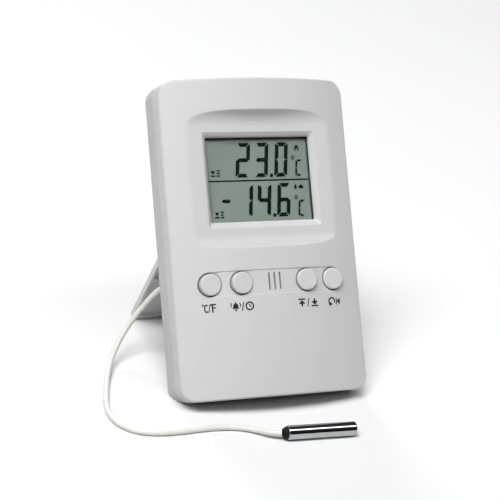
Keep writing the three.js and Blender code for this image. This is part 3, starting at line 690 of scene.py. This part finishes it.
CASE_OUTLINE = Rounded(HALF_WIDTH, 0, HEIGHT, CORNER_R)
GRID = (1 - HALF_WIDTH, 1), (HALF_WIDTH - 1, HEIGHT - 1)  # two corners of the points between the outlines
GROOVE_OUTLINE = Rounded(GROOVE_HALF, GROOVE_Z - GROOVE_R, GROOVE_Z + GROOVE_R, GROOVE_R)
GROOVE = Sunk([GROOVE_OUTLINE], GROOVE_DEPTH, GROOVE_EDGE_R, steep=2.0)
HOLES = Sunk([round_hole(b, HOLE_R) for b in BUTTONS.values()], 1.6, 0.12, around=0)
SLOT_LOW, SLOT_HIGH = GROOVE_Z - SLOT_LENGTH / 2, GROOVE_Z + SLOT_LENGTH / 2
SLOT_OUTLINES = [Rounded(SLOT_HALF, SLOT_LOW, SLOT_HIGH, SLOT_HALF, k * SLOT_PITCH) for k in (-1, 0, 1)]
SLOTS = Sunk(SLOT_OUTLINES, 1.2, 0.07, around=0.25, step=0.6, arc_step=0.12)

DOOR_LOW, DOOR_HIGH = local_box("battery_door")
DOOR_GAP = 0.2
DOOR_LOW_GAP = 0.5  # wide enough for the door's lower edge to swing in
RECESS = Sunk([Rounded(RECESS_HALF, -20, RECESS_TOP, RECESS_R)], BACK_Y - RECESS_Y, 0.3)
REBATE_OUTLINE = Rounded(DOOR_HIGH.x + DOOR_GAP, DOOR_LOW.z - DOOR_LOW_GAP, DOOR_HIGH.z + DOOR_GAP, 0.8)
REBATE = Sunk([REBATE_OUTLINE], RECESS_Y - REBATE_Y, 0.1)
BAY = Sunk([Rounded(24.4, 8.2, 20.2, 0.5)], REBATE_Y - BAY_FLOOR_Y, 0.15, steep=240.0, around=0)
WELLS = Sunk([round_hole(s, WELL_R) for s in SCREWS], BACK_Y - WELL_Y, 0.3, arc_step=0.4)
VENTS = Sunk([Rounded(7, z - 0.6, z + 0.6, 0.6) for z in VENT_Z], 0.9, 0.12, step=1.0, arc_step=0.2)


class Keyhole:
    """A round hole for a screw's head, with a slot above it for the screw's neck."""

    r, slot, middle, top = 4.0, 2.1, 91.0, 98.5
    neck = Rounded(slot, middle, top, slot)

    def distance(self, x, z):
        return min(math.hypot(x, z - self.middle) - self.r, self.neck.distance(x, z))

    def ring(self, s):
        """The outline moved outwards by s."""
        r, w = self.r + s, self.slot + s
        meet = math.acos(w / r)
        top = self.top - self.slot
        round_part = [math.pi - meet + (math.pi + 2 * meet) * i / 28 for i in range(29)]
        head = [math.pi * i / 12 for i in range(13)]
        points = [(r * math.cos(a), self.middle + r * math.sin(a)) for a in round_part]
        points += [(w * math.cos(a), top + w * math.sin(a)) for a in head]
        return divided(points, 0.8)


KEYHOLE = Sunk([Keyhole()], 0.9, 0.12)

# how far in from the side wall, and back from the seam, the points of the seam's rounded edge are
SEAM_STEPS = [(0, SEAM_EDGE_R + 0.3), (0, SEAM_EDGE_R), (0.06, 0.06), (0.14, 0), (1.4, 0)]


def at_foot_of(*areas):
    return lambda x, z: any(area.at_foot(x, z) for area in areas)


def moved_back(by):
    return lambda co: Vector((co.x, co.y + by, co.z))


def draw_side_wall(bm, first, seam_y, side):
    """Draws a shell's side wall as far as the seam. side is -1 for the front shell and 1 for the rear one."""
    outline = CASE_OUTLINE.distance
    steps = [inwards(outline, by, seam_y + side * away) for by, away in SEAM_STEPS]
    extend(bm, lambda x, z: outline(x, z) > -0.01, [first, *steps])


# ---- front shell ----


def bow(x):
    return FACE_CENTRE_Y - math.sqrt(FACE_R**2 - x * x)


def pocket(z):
    """Depth of the recessed panel, whose two ends curve up into the bowed face."""
    if z > HIGH_COVE["start"]:
        cove, d = HIGH_COVE, z - HIGH_COVE["start"]
    else:
        cove, d = LOW_COVE, max(LOW_COVE["start"] - z, 0)
    share = d / cove["run"]
    if share >= 1:
        return POCKET_Y - cove["rise"] - PAST_COVE_SLOPE * (share - 1)
    return POCKET_Y - cove["rise"] * (1 - math.sqrt(1 - share * share))


def frame_share(x, z):
    """0 on the rim of the display's sloping frame and 1 at its inner edge."""
    side = (RIM["half"] - abs(x)) / (RIM["half"] - SIGHT["half"])
    below = (z - RIM["low"]) / (SIGHT["low"] - RIM["low"])
    above = (RIM["high"] - z) / (RIM["high"] - SIGHT["high"])
    return min(side, below, above)


def frame_ring(share):
    half, low, high = (RIM[key] + (SIGHT[key] - RIM[key]) * share for key in ("half", "low", "high"))
    return divided([(-half, low), (half, low), (half, high), (-half, high)], 1.2)


def front_height(x, z):
    y = softer_max(bow(x), pocket(z), POCKET_SOFTNESS)
    y += edge_drop(-CASE_OUTLINE.distance(x, z), FACE_EDGE_R)
    y += SLOPE_DROP * min(max(softer_max(frame_share(x, z), 0, 0.06), 0), 1)
    return y + sum(area.drop(x, z) for area in (GROOVE, HOLES, SLOTS))


def rim_lines():
    """Lines along the pocket's two curved rims, beside them, and along the curve below each."""
    reach = math.sqrt(FACE_R**2 - (FACE_CENTRE_Y - POCKET_Y) ** 2)
    steps = 56
    lines = []
    for cove, sign in ((HIGH_COVE, 1), (LOW_COVE, -1)):
        edge, run, top = cove["start"], cove["run"], cove["rise"]
        for beside in (-0.6, -0.3, -0.12, 0, 0.12, 0.3, 0.6):
            row = []
            for i in range(steps + 1):
                x = -reach + 2 * reach * i / steps
                rise = min(POCKET_Y - bow(x), top)
                d = run * math.sqrt(max(1 - (1 - rise / top) ** 2, 0))
                row.append((x, edge + sign * (d + beside)))
            lines.append(row)
        for angle in (12, 25, 38, 50, 60, 68):
            d = run * math.sin(math.radians(angle))
            rise = top * (1 - math.cos(math.radians(angle)))
            face = FACE_CENTRE_Y - (POCKET_Y - rise)
            half = math.sqrt(max(FACE_R**2 - face**2, 0)) - 1.5
            if half > 2:
                lines.append(line_across(half, edge + sign * d, 1.6))
    low, high = LOW_COVE["start"] - 0.4, HIGH_COVE["start"] + 0.4
    for x in (-reach, reach):
        for beside in (-1.4, -0.7, 0, 0.7, 1.4):
            lines.append(divided([(x + beside, low), (x + beside, high)], 2, closed=False))
    return lines


def add_front_shell():
    edges = [0.0, *edge_offsets(FACE_EDGE_R, (70, 50, 30, 12, 0)), 1.3]
    loops = [CASE_OUTLINE.ring(-d) for d in edges]
    loops += [frame_ring(share) for share in (-0.12, -0.04, 0.04, 0.12, 0.55, 1.0)]
    loops += GROOVE.rings() + HOLES.rings() + SLOTS.rings()

    in_holes = at_foot_of(HOLES, SLOTS)

    def opening(x, z):
        return frame_share(x, z) > 0.999 or in_holes(x, z)

    bm = skin(loops, rim_lines(), front_height, *GRID, 2.2, opening, -1)
    extend(bm, opening, [moved_back(0.9)])
    draw_side_wall(bm, moved_back(0.3), SEAM_Y, -1)
    weighted(piece("front_case", bm, FRONT_PLASTIC, "front_shell"))


add_front_shell()

# ---- rear shell ----

LAND_TOP = (BACK_Y - LAND_Y) * math.tan(LEAN)
LAND_RECESS = (RECESS_Y - LAND_Y) * math.tan(LEAN)


def back_height(x, z):
    edge = edge_drop(-CASE_OUTLINE.distance(x, z), BACK_EDGE_R)
    land = BACK_Y - LAND_Y - z / math.tan(LEAN)
    depth = max(softer_max(edge, land, 0.12), RECESS.drop(x, z))
    return BACK_Y - depth - sum(area.drop(x, z) for area in (REBATE, BAY, WELLS, VENTS, KEYHOLE))


def add_rear_shell():
    edges = [0.0, *edge_offsets(BACK_EDGE_R, (75, 60, 45, 30, 15, 0)), 2.6]
    loops = [CASE_OUTLINE.ring(-d) for d in edges]
    for area in (REBATE, BAY, WELLS, VENTS, KEYHOLE):
        loops += area.rings()
    lines = []
    for s in RECESS.offsets:
        half, top, r = RECESS_HALF + s, RECESS_TOP + s, RECESS_R + s
        bend = [math.radians(90 * i / 5) for i in range(6)]
        right = [(half - r + r * math.cos(a), top - r + r * math.sin(a)) for a in bend]
        left = [(-x, z) for x, z in reversed(right)]
        lines.append(divided([(half, 0.3), *right, *left, (-half, 0.3)], 1.4, closed=False))
    for beside in (-0.15, 0, 0.15):
        lines.append(line_across(RECESS_HALF - 0.1, LAND_RECESS + beside, 2))
        for side in (-1, 1):
            ends = [(side * (RECESS_HALF + 0.5), LAND_TOP + beside), (side * 34.6, LAND_TOP + beside)]
            lines.append(divided(ends, 1, closed=False))

    opening = at_foot_of(VENTS, KEYHOLE)
    bm = skin(loops, lines, back_height, *GRID, 2.5, opening, 1)
    extend(bm, opening, [moved_back(-0.8)])
    front_y = SEAM_Y + SEAM_GAP
    draw_side_wall(bm, lambda co: Vector((co.x, max(co.y - 0.3, front_y + 0.8), co.z)), front_y, 1)
    weighted(piece("rear_case", bm, REAR_PLASTIC_PAINTED_SHADE, "rear_shell"))


add_rear_shell()

# ---- battery door ----


def add_battery_door():
    low, high = DOOR_LOW, DOOR_HIGH
    edge_r = 0.18
    # a groove for a fingertip near its upper edge, a part of a cylinder along x
    scoop_z, scoop_half, scoop_r, scoop_lift = high.z - 2.6, 5.0, 1.6, 1.1
    scoop_end = 0.25
    outline = Rounded(high.x, low.z, high.z, 0.7)
    ridge_z = [low.z + 2.5 + 1.3 * k for k in range(3)]
    ridge_outlines = [Rounded(6, z - 0.3, z + 0.3, 0.3) for z in ridge_z]
    ridges = Sunk(ridge_outlines, 0.2, 0.08, steep=3.0, around=0.2, arc_step=0.15)

    def height(x, z):
        y = high.y - edge_drop(-outline.distance(x, z), edge_r)
        if abs(z - scoop_z) < scoop_r and abs(x) < scoop_half:
            bottom = high.y + scoop_lift - math.sqrt(scoop_r**2 - (z - scoop_z) ** 2)
            y += min(bottom - y, 0) * min((scoop_half - abs(x)) / scoop_end, 1)
        return y - ridges.drop(x, z)

    loops = [outline.ring(-d, arc_step=0.25) for d in (0, edge_r * 0.1, edge_r * 0.4, edge_r, edge_r + 0.3)]
    chord = math.sqrt(scoop_r**2 - scoop_lift**2)
    for share in (1.0, 0.93, 0.8, 0.6, 0.35, 0.1):
        half, reach = scoop_half - 0.3 * (1 - share), chord * share
        loops.append(Rounded(half, scoop_z - reach, scoop_z + reach, 0.02).ring())
    loops += ridges.rings()
    bm = skin(loops, [], height, (1 - high.x, low.z + 1), (high.x - 1, high.z - 1), 2.5, nowhere, 1)
    steps = [inwards(outline.distance, by, y) for by, y in ((0, high.y - 0.5), (0, low.y + 0.1), (0.1, low.y))]
    rim = extend(bm, lambda x, z: outline.distance(x, z) > -0.01, steps)
    bmesh.ops.contextual_create(bm, geom=rim)
    weighted(piece("battery_lid", bm, REAR_PLASTIC_PAINTED_SHADE, "battery_door", body="battery_door"))


add_battery_door()

# ---- stand ----

STAND_HALF = 28.0
STAND_TOP = 0.8
STAND_TIP = local_box("stand", STAND)[0].z
STAND_INNER_Y = 11.5 - HINGE.y
STAND_OUTER_Y = BACK_Y - HINGE.y
STAND_EDGE_R = 0.3
STAND_RIM = 1.3
STAND_POCKETS = [(-31.0, -2.6), (-56.43, -33.2)]  # the lower and upper end of each pocket between its ribs
STAND_POCKET_DEPTH = STAND_OUTER_Y - 1.8 - STAND_INNER_Y
STAND_CORNERS = {"low": 3.0, "high": 0.5}
BARREL_R = 1.3
PIN_R = 1.1
FOOT_TILT = OPEN_ANGLE - LEAN


def add_stand():
    tip, top, inner_y, outer_y = STAND_TIP + 0.2, STAND_TOP, STAND_INNER_Y, STAND_OUTER_Y
    foot_start = STAND_TIP + (outer_y - inner_y) * math.tan(FOOT_TILT)
    lower = Rounded(STAND_HALF, tip, 40, STAND_CORNERS["low"])
    upper = Rounded(STAND_HALF, -50, top, STAND_CORNERS["high"])
    pocket_outlines = [Rounded(STAND_HALF - STAND_RIM, low, high, 1.0) for low, high in STAND_POCKETS]
    pockets = Sunk(pocket_outlines, STAND_POCKET_DEPTH, 0.3, steep=2.5, arc_step=0.3)

    def outline(x, z):
        return max(lower.distance(x, z), upper.distance(x, z))

    def ring(d):
        r, small = STAND_CORNERS["low"] - d, max(STAND_CORNERS["high"] - d, 0.02)
        half, low, high = STAND_HALF - d, tip + d, top - d
        corners = [
            (half - r, low + r, r, -90, 8),
            (half - small, high - small, small, 0, 8),
            (small - half, high - small, small, 90, 8),
            (r - half, low + r, r, 180, 8),
        ]
        return round_corners(corners, 1.5)

    def height(x, z):
        y = max(inner_y, inner_y + (foot_start - z) / math.tan(FOOT_TILT))
        y += edge_drop(-outline(x, z), STAND_EDGE_R) if z > tip + 4 else 0
        return y + pockets.drop(x, z)

    loops = [ring(d) for d in (0, 0.03, 0.1, 0.3, 0.6)] + pockets.rings()
    lines = [line_across(STAND_HALF - 0.4, foot_start + d, 2) for d in (-0.1, 0, 0.1)]
    bm = skin(loops, lines, height, (-27, tip + 1), (27, 0), 2.5, nowhere, -1)
    steps = [lambda co: Vector((co.x, max(co.y, outer_y - STAND_EDGE_R), co.z))]
    steps += [inwards(outline, by, outer_y - back) for by, back in ((0.09, 0.09), (0.21, 0), (0.5, 0))]
    rim = extend(bm, lambda x, z: outline(x, z) > -0.01, steps)
    bmesh.ops.contextual_create(bm, geom=rim)
    end, r = STAND_HALF, BARREL_R
    barrel = [(0, -end), (r - 0.2, -end), (r, 0.2 - end), (r, end - 0.2), (r - 0.2, end), (0, end)]
    turned(barrel, 32, bm, axis="X")
    for side in (-1, 1):
        pin = [(0, end - 0.5), (PIN_R, end - 0.5), (PIN_R, end + 1.1), (PIN_R - 0.2, end + 1.3), (0, end + 1.3)]
        turned([(radius, side * along) for radius, along in pin], 24, bm, axis="X")
    weighted(piece("stand_leaf", bm, STAND_PLASTIC_PAINTED_LIGHT, "stand", body="stand", axes=STAND))


add_stand()

# ---- buttons ----

CAP_R = 3.72


def add_button(name, centre):
    node = f"button_{name}"
    top = local_box(node)[0].y
    profile = [
        (0, top + 0.05), (1.2, top + 0.045), (2.3, top + 0.02), (2.8, top), (CAP_R - 0.55, top + 0.03),
        *arc(CAP_R - 0.42, top + 0.47, 0.42, -80, 0, 6), (CAP_R, top + 0.8), (CAP_R, top + 2.2),
        (CAP_R, top + 3.4), (0, top + 3.4),
    ]
    bm = turned(profile, 72, centre=(centre.x, centre.z))
    weighted(piece(f"{name}_cap", bm, CAP_PLASTIC, node, body=node))


for button, middle in BUTTONS.items():
    add_button(button, middle)

# ---- display ----


def plate(bm, low, high, edge):
    """A flat plate between two corners, with small chamfers on its front edges."""
    (x0, y0, z0), (x1, y1, z1) = low, high
    front = [(x0 + edge, z0 + edge), (x1 - edge, z0 + edge), (x1 - edge, z1 - edge), (x0 + edge, z1 - edge)]
    side = [(x0, z0), (x1, z0), (x1, z1), (x0, z1)]
    rows = [
        [bm.verts.new((x, y0, z)) for x, z in front],
        [bm.verts.new((x, y0 + edge, z)) for x, z in side],
        [bm.verts.new((x, y1, z)) for x, z in side],
    ]
    bm.faces.new(rows[0])
    bm.faces.new(rows[2][::-1])
    for a, b in zip(rows, rows[1:]):
        for i in range(4):
            j = (i + 1) % 4
            bm.faces.new([a[i], a[j], b[j], b[i]])
    bmesh.ops.recalc_face_normals(bm, faces=bm.faces)
    return bm


def add_display_plate(name, material, node, edge):
    bm = plate(bmesh.new(), *local_box(node), edge)
    piece(name, bm, material, node, smooth=False)


add_display_plate("display_window", CLEAR_WINDOW, "lcd_window", 0.2)
add_display_plate("display_panel", DISPLAY_BACK, "lcd_cell", 0.15)
PANEL_Y = local_box("lcd_cell")[0].y


class Marks:
    """Flat marks in the x, z plan, each a closed outline, laid on a surface and given a small thickness."""

    def __init__(self):
        self.outlines = []

    def polygon(self, points):
        self.outlines.append([Vector(p) for p in points])

    def stroke(self, points, width, closed=False):
        """A line of some width, made of straight pieces with round joints."""
        points = [Vector(p) for p in points]
        pairs = list(zip(points, points[1:] + points[:1] if closed else points[1:]))
        for a, b in pairs:
            along = (b - a).normalized() * width / 2
            side = Vector((-along.y, along.x))
            self.polygon([a + side, a - side, b - side, b + side])
        joints = points if closed else points[1:-1]
        for p in joints:
            self.disc(p, width / 2, 8)

    def disc(self, centre, r, count=20):
        centre = Vector(centre)
        angles = [2 * math.pi * i / count for i in range(count)]
        self.polygon([centre + r * Vector((math.cos(a), math.sin(a))) for a in angles])

    def circle(self, centre, r, width, start=0, end=360, count=24):
        closed = end - start == 360
        last = count if closed else count + 1
        angles = [math.radians(start + (end - start) * i / count) for i in range(last)]
        self.stroke([(centre[0] + r * math.cos(a), centre[1] + r * math.sin(a)) for a in angles], width, closed)

    def mesh(self, surface, lift, thickness):
        """Each outline in its own tiny step above the last, so that no two faces coincide."""
        bm = bmesh.new()
        for i, outline in enumerate(self.outlines):
            raised = lift + 0.0004 * (i % 12)
            front = [bm.verts.new((p.x, surface(p.x) - raised - thickness, p.y)) for p in outline]
            back = [bm.verts.new((p.x, surface(p.x) - raised, p.y)) for p in outline]
            bm.faces.new(front)
            for k in range(len(outline)):
                j = (k + 1) % len(outline)
                bm.faces.new([front[k], front[j], back[j], back[k]])
        bmesh.ops.recalc_face_normals(bm, faces=bm.faces)
        return bm


FIGURE_SLANT = 0.115  # sideways lean of the display's figures for each millimetre up
SEGMENTS = {"0": "abcdef", "1": "bc", "2": "abdeg", "3": "abcdg", "4": "bcfg", "6": "acdefg", "C": "adef"}


def digit(marks, character, left, right, low, high, t):
    """A seven-segment figure. left and right are the middles of its upright segments, t their width."""
    gap = 0.09
    x0, x1 = left - t / 2, right + t / 2
    middle = (low + high) / 2
    cut = t * 0.32
    end, point = cut + gap, t * 0.8
    shapes = {
        key: [(x0 + end, z), (x1 - end, z), (x1 - t - gap, inner), (x0 + t + gap, inner)]
        for key, z, inner in (("a", high, high - t), ("d", low, low + t))
    }
    shapes["g"] = [
        (x0 + end, middle), (x0 + point, middle + t / 2), (x1 - point, middle + t / 2), (x1 - end, middle),
        (x1 - point, middle - t / 2), (x0 + point, middle - t / 2),
    ]
    for key, outer, inner, near in (
        ("f", x0, x0 + t, high),
        ("b", x1, x1 - t, high),
        ("e", x0, x0 + t, low),
        ("c", x1, x1 - t, low),
    ):
        s = 1 if near > middle else -1
        shapes[key] = [
            (outer, near - s * end), (outer, middle + s * gap),
            ((outer + inner) / 2, middle + s * gap * 0.6), (inner, middle + s * (t * 0.42 + gap)),
            (inner, near - s * (t + gap * 0.6)), ((outer + inner) / 2, near - s * (t * 0.5)),
        ]
    for key in SEGMENTS[character]:
        marks.polygon([(x + FIGURE_SLANT * (z - middle), z) for x, z in shapes[key]])


def lowest_marker(marks, x, z):
    """A triangle down to a bar, and the lines of a list: the lowest reading kept."""
    marks.polygon([(x - 0.85, z + 0.95), (x, z - 0.45), (x + 0.85, z + 0.95)])
    marks.stroke([(x - 0.85, z - 0.85), (x + 0.85, z - 0.85)], 0.52)
    for rise in (-0.85, 0.05, 0.95):
        marks.stroke([(x + 1.35, z + rise), (x + 2.6, z + rise)], 0.52)


def indoor_marker(marks, x, z):
    """A house."""
    marks.polygon([(x - 1.1, z), (x + 1.1, z), (x, z + 1.15)])
    for x0, x1 in ((x - 0.8, x - 0.25), (x + 0.25, x + 0.8)):
        marks.polygon([(x0, z - 1.0), (x1, z - 1.0), (x1, z + 0.1), (x0, z + 0.1)])


def outdoor_marker(marks, x, z):
    """A tree beside a cloud."""
    marks.polygon([(x - 1.7, z - 0.5), (x - 0.3, z - 0.5), (x - 1.0, z + 1.15)])
    marks.stroke([(x - 1.0, z - 1.1), (x - 1.0, z - 0.4)], 0.4)
    for dx, dz, r in ((0.55, -0.2, 0.5), (1.15, 0.1, 0.6), (1.6, -0.25, 0.45)):
        marks.disc((x + dx, z + dz), r)
    marks.stroke([(x + 0.5, z - 0.55), (x + 1.65, z - 0.55)], 0.3)


# each figure, the middles of its upright segments, its foot and its top, and the width of its segments
UPPER_ROW, LOWER_ROW = (76.0, 88.15, 1.42), (62.0, 73.8, 1.42)
FIGURES = [
    ("2", -7.35, -3.5, *UPPER_ROW),
    ("3", -0.3, 3.45, *UPPER_ROW),
    ("0", 7.35, 10.9, *UPPER_ROW),
    ("1", -8, -3.6, *LOWER_ROW),
    ("4", -0.4, 3.35, *LOWER_ROW),
    ("6", 7.1, 10.75, *LOWER_ROW),
]
UNITS = [("C", 14.75, 16.6, 76.1, 82, 0.8), ("C", 14.65, 16.5, 61.9, 67.7, 0.8)]
DECIMAL_POINTS = [(4.95, 76.55), (4.95, 62.55)]
DEGREE_SIGNS = [(13.7, 82.7), (13.7, 68.65)]
MINUS_Z = 67.9


def add_display_marks():
    marks = Marks()
    for figure in FIGURES:
        digit(marks, *figure)
    for place in DECIMAL_POINTS:
        marks.disc(place, 0.66)
    minus = [(-14.6, 0), (-14.0, 0.65), (-11.8, 0.65), (-11.2, 0), (-11.8, -0.65), (-14.0, -0.65)]
    marks.polygon([(x, MINUS_Z + dz) for x, dz in minus])
    for place in DEGREE_SIGNS:
        marks.circle(place, 0.55, 0.36)
    for figure in UNITS:
        digit(marks, *figure)
    marks.stroke([(-19.2, 74.9), (19.2, 74.9)], 0.55)
    lowest_marker(marks, -17.0, 77.6)
    lowest_marker(marks, -16.7, 63.2)
    indoor_marker(marks, 15.4, 86.1)
    outdoor_marker(marks, 14.8, 72.4)
    bm = marks.mesh(lambda x: PANEL_Y, 0.02, 0.02)
    piece("display_figures", bm, DISPLAY_MARK, smooth=False)


add_display_marks()


def add_display_frame_and_painted_shade():
    """The display's black frame between the window and the panel, drawn only at the top and on the right, where
    the opening's inner walls fall in shade: partly the real frame, partly painted shade.
    """
    bm = bmesh.new()
    y0, y1 = PANEL_Y - 0.15, PANEL_Y - 0.04
    plate(bm, (-21, y0, 89.4), (21, y1, 91), 0.03)
    plate(bm, (19.0, y0, 59), (21, y1, 91), 0.03)
    piece("display_frame_and_painted_shade", bm, DARK_PLASTIC, smooth=False)


add_display_frame_and_painted_shade()

# ---- printed marks under the buttons ----


def thick_arrow(marks, x, low, high, up, line):
    """A solid arrowhead that meets a bar."""
    base, tip = (low + 0.2, high - line) if up else (high - 0.2, low + line)
    s = 1 if up else -1
    neck = tip - s * 1.35
    marks.polygon([(x - 1.35, neck), (x + 1.35, neck), (x, tip)][:: -s])
    marks.stroke([(x, base), (x, neck)], line * 1.3)
    marks.stroke([(x - 1.35, tip + s * line / 2), (x + 1.35, tip + s * line / 2)], line)


def bell(marks, x, low, high, line):
    half = [(1.3, 0.75), (0.95, 1.15), (0.85, 2.0), (0.4, 2.5)]
    marks.polygon([(x + dx, low + dz) for dx, dz in half] + [(x - dx, low + dz) for dx, dz in reversed(half)])
    marks.disc((x, low + 0.3), 0.36)
    marks.disc((x, high - 0.2), 0.28)
    for side in (-1, 1):
        wave = [(1.55, 1.3), (1.65, 2.1), (1.4, 2.75)]
        marks.stroke([(x + side * dx, low + dz) for dx, dz in wave], line * 0.7)


def add_print():
    marks = Marks()
    line, thin = 0.5, 0.36
    low, high = 29.7, 32.6
    middle = (low + high) / 2
    # degree sign and letter of each scale
    for x in (-25.9, -23.25):
        marks.circle((x, high - 0.25), 0.3, 0.24, count=12)
    upper_c = [(0.35, 0.85), (0.2, 1.15), (-0.15, 1.22), (-0.5, 0.9), (-0.6, 0.3)]
    letter_c = upper_c + [(dx, -dz) for dx, dz in reversed(upper_c)]
    marks.stroke([(-24.75 + dx, middle + dz) for dx, dz in letter_c], line * 0.9)
    marks.stroke([(-24.1, low), (-23.55, high)], 0.3)
    marks.stroke([(-22.75, low), (-22.75, high - 0.2), (-21.5, high - 0.2)], line)
    marks.stroke([(-22.75, middle + 0.1), (-21.7, middle + 0.1)], line * 0.9)
    # a ringing bell and a clock
    bell(marks, -14.9, low, high, line)
    marks.stroke([(-12.75, low), (-12.05, high)], thin)
    clock = (-10.0, middle)
    marks.circle(clock, 1.3, line)
    marks.stroke([(clock[0], clock[1] + 0.8), clock, (clock[0] + 0.6, clock[1] - 0.3)], thin)
    # up to the highest and down to the lowest
    thick_arrow(marks, 9.6, low, high, True, line)
    marks.stroke([(11.75, low), (12.5, high)], thin)
    thick_arrow(marks, 14.7, low, high, False, line)
    # back to the start
    marks.circle((22.0, middle), 1.25, line, -30, 250)
    marks.polygon([(20.7, middle + 0.1), (22.3, middle - 0.95), (20.9, middle - 1.7)])
    marks.polygon([(24.1, middle), (25.5, middle - 1.2), (25.5, middle + 1.2)])
    marks.stroke([(24.0, low + 0.25), (24.0, high - 0.25)], line * 0.8)
    bm = marks.mesh(bow, 0.006, 0.012)
    piece("button_print", bm, PRINT_INK, smooth=False)


add_print()

# ---- screws in the back ----

SCREW_R = 2.1
SHANK_R = 1.0
CROSS_REACH, CROSS_HALF = 1.2, 0.26


def add_case_screw(index, centre):
    node = f"case_screw_{index}"
    tip = local_box(node)[0].y
    seat = WELL_Y + 0.2
    profile = [
        (0, tip), (0.35, tip + 0.4), (SHANK_R, tip + 1.4), (SHANK_R, seat), (SCREW_R - 0.2, seat),
        (SCREW_R, seat + 0.2), (SCREW_R, seat + 0.75), (SCREW_R - 0.2, seat + 1.05), (1.3, seat + 1.3),
        (0.6, seat + 1.4), (0, seat + 1.4),
    ]
    bm = turned(profile, 40, centre=(centre.x, centre.z))
    screw = piece(f"back_screw_{index}", bm, ZINC_STEEL, node)
    cutter = bmesh.new()
    for x, z in ((CROSS_REACH, CROSS_HALF), (CROSS_HALF, CROSS_REACH)):
        low = (centre.x - x, seat + 0.6, centre.z - z)
        plate(cutter, low, (centre.x + x, seat + 2.4, centre.z + z), 0.08)
    cutter.transform(CASE)
    tool = placed(f"cross_{index}", mesh_of(f"cross_{index}", cutter))
    modifier = screw.modifiers.new("cross", "BOOLEAN")
    modifier.operation = "DIFFERENCE"
    modifier.solver = "EXACT"
    modifier.use_self = True
    modifier.object = tool
    bpy.context.view_layer.update()
    depsgraph = bpy.context.evaluated_depsgraph_get()
    cut = bpy.data.meshes.new_from_object(screw.evaluated_get(depsgraph))
    screw.modifiers.clear()
    screw.data = cut
    bpy.data.objects.remove(tool)


for number, place in enumerate(SCREWS, start=1):
    add_case_screw(number, place)

# ---- strain relief ----

GROMMET_RINGS = 5


def add_grommet():
    """A collar on the back and a sleeve of rings that get narrower towards the cable."""
    wall_y, tip = BACK_Y, NOSE.y
    profile = [(0, wall_y - 1.4), (1.2, wall_y - 1.4), (1.2, wall_y + 0.1), (1.7, wall_y + 0.12)]
    profile += arc(1.62, wall_y + 0.45, 0.2, -60, 70, 4)
    first = wall_y + 0.75
    length = tip - first
    for k in range(GROMMET_RINGS):
        start = first + length * k / GROMMET_RINGS
        r = 1.5 - 0.075 * k
        profile += [
            (r - 0.22, start), (r - 0.03, start + 0.1), (r, start + length * 0.08),
            (r, start + length * 0.13), (r - 0.05, start + length * 0.155),
            (r - 0.22, start + length * 0.17),
        ]
    profile += [(1.08, tip - 0.05), (0.95, tip), (0, tip)]
    bm = turned(profile, 40, centre=(NOSE.x, NOSE.z))
    weighted(piece("strain_relief", bm, CABLE_VINYL, "cable_grommet"))


add_grommet()

# ---- floor and light ----

FLOOR_HALF = 6
FLOOR_TONES = (0.69, 0.69, 0.69), (0.71, 0.71, 0.71)
# the light of the studio's walls: how high up each tone is reached, and the tone
WALL_TONES = [(0.45, (0.015, 0.015, 0.016, 1)), (0.95, (0.07, 0.07, 0.072, 1))]
# name, place, what it points at, width and height, and power in watts
LAMPS = [
    ("key", (-1.0, -0.62, 2.1), (0, 0, 0.05), (1.3, 1.3), 60),
    ("strip", (0.22, -0.95, 1.95), (0, 0, 0.04), (2.8, 0.5), 25),
    ("back_fill", (0.0, 1.9, 1.2), (0, 0, 0.05), (0.8, 0.8), 24),
]


def add_floor():
    bm = bmesh.new()
    bmesh.ops.create_grid(bm, x_segments=1, y_segments=1, size=FLOOR_HALF)
    mesh = mesh_of("floor", bm)
    m = Nodes("floor_paper")
    mesh.materials.append(m.finish(Base_Color=m.mottled(m.noise(0.3, 2), *FLOOR_TONES), Roughness=0.9))
    placed("floor", mesh)


def area_light(name, place, target, size, power):
    data = bpy.data.lights.new(name, "AREA")
    data.shape = "RECTANGLE"
    data.size, data.size_y = size
    data.energy = power
    direction = Vector(target) - Vector(place)
    aim = direction.to_track_quat("-Z", "Y").to_matrix().to_4x4()
    placed(name, data).matrix_world = Matrix.Translation(place) @ aim


def add_studio():
    world = bpy.data.worlds.new("studio")
    bpy.context.scene.world = world
    world.use_nodes = True
    tree = world.node_tree
    place = tree.nodes.new("ShaderNodeTexCoord")
    split = tree.nodes.new("ShaderNodeSeparateXYZ")
    ramp = tree.nodes.new("ShaderNodeValToRGB")
    for element, (height, tone) in zip(ramp.color_ramp.elements, WALL_TONES):
        element.position = height
        element.color = tone
    tree.links.new(place.outputs["Generated"], split.inputs["Vector"])
    tree.links.new(split.outputs["Z"], ramp.inputs["Fac"])
    tree.links.new(ramp.outputs["Color"], tree.nodes["Background"].inputs["Color"])
    for lamp in LAMPS:
        area_light(*lamp)
    bpy.context.scene.view_settings.view_transform = "Standard"


add_floor()
add_studio()
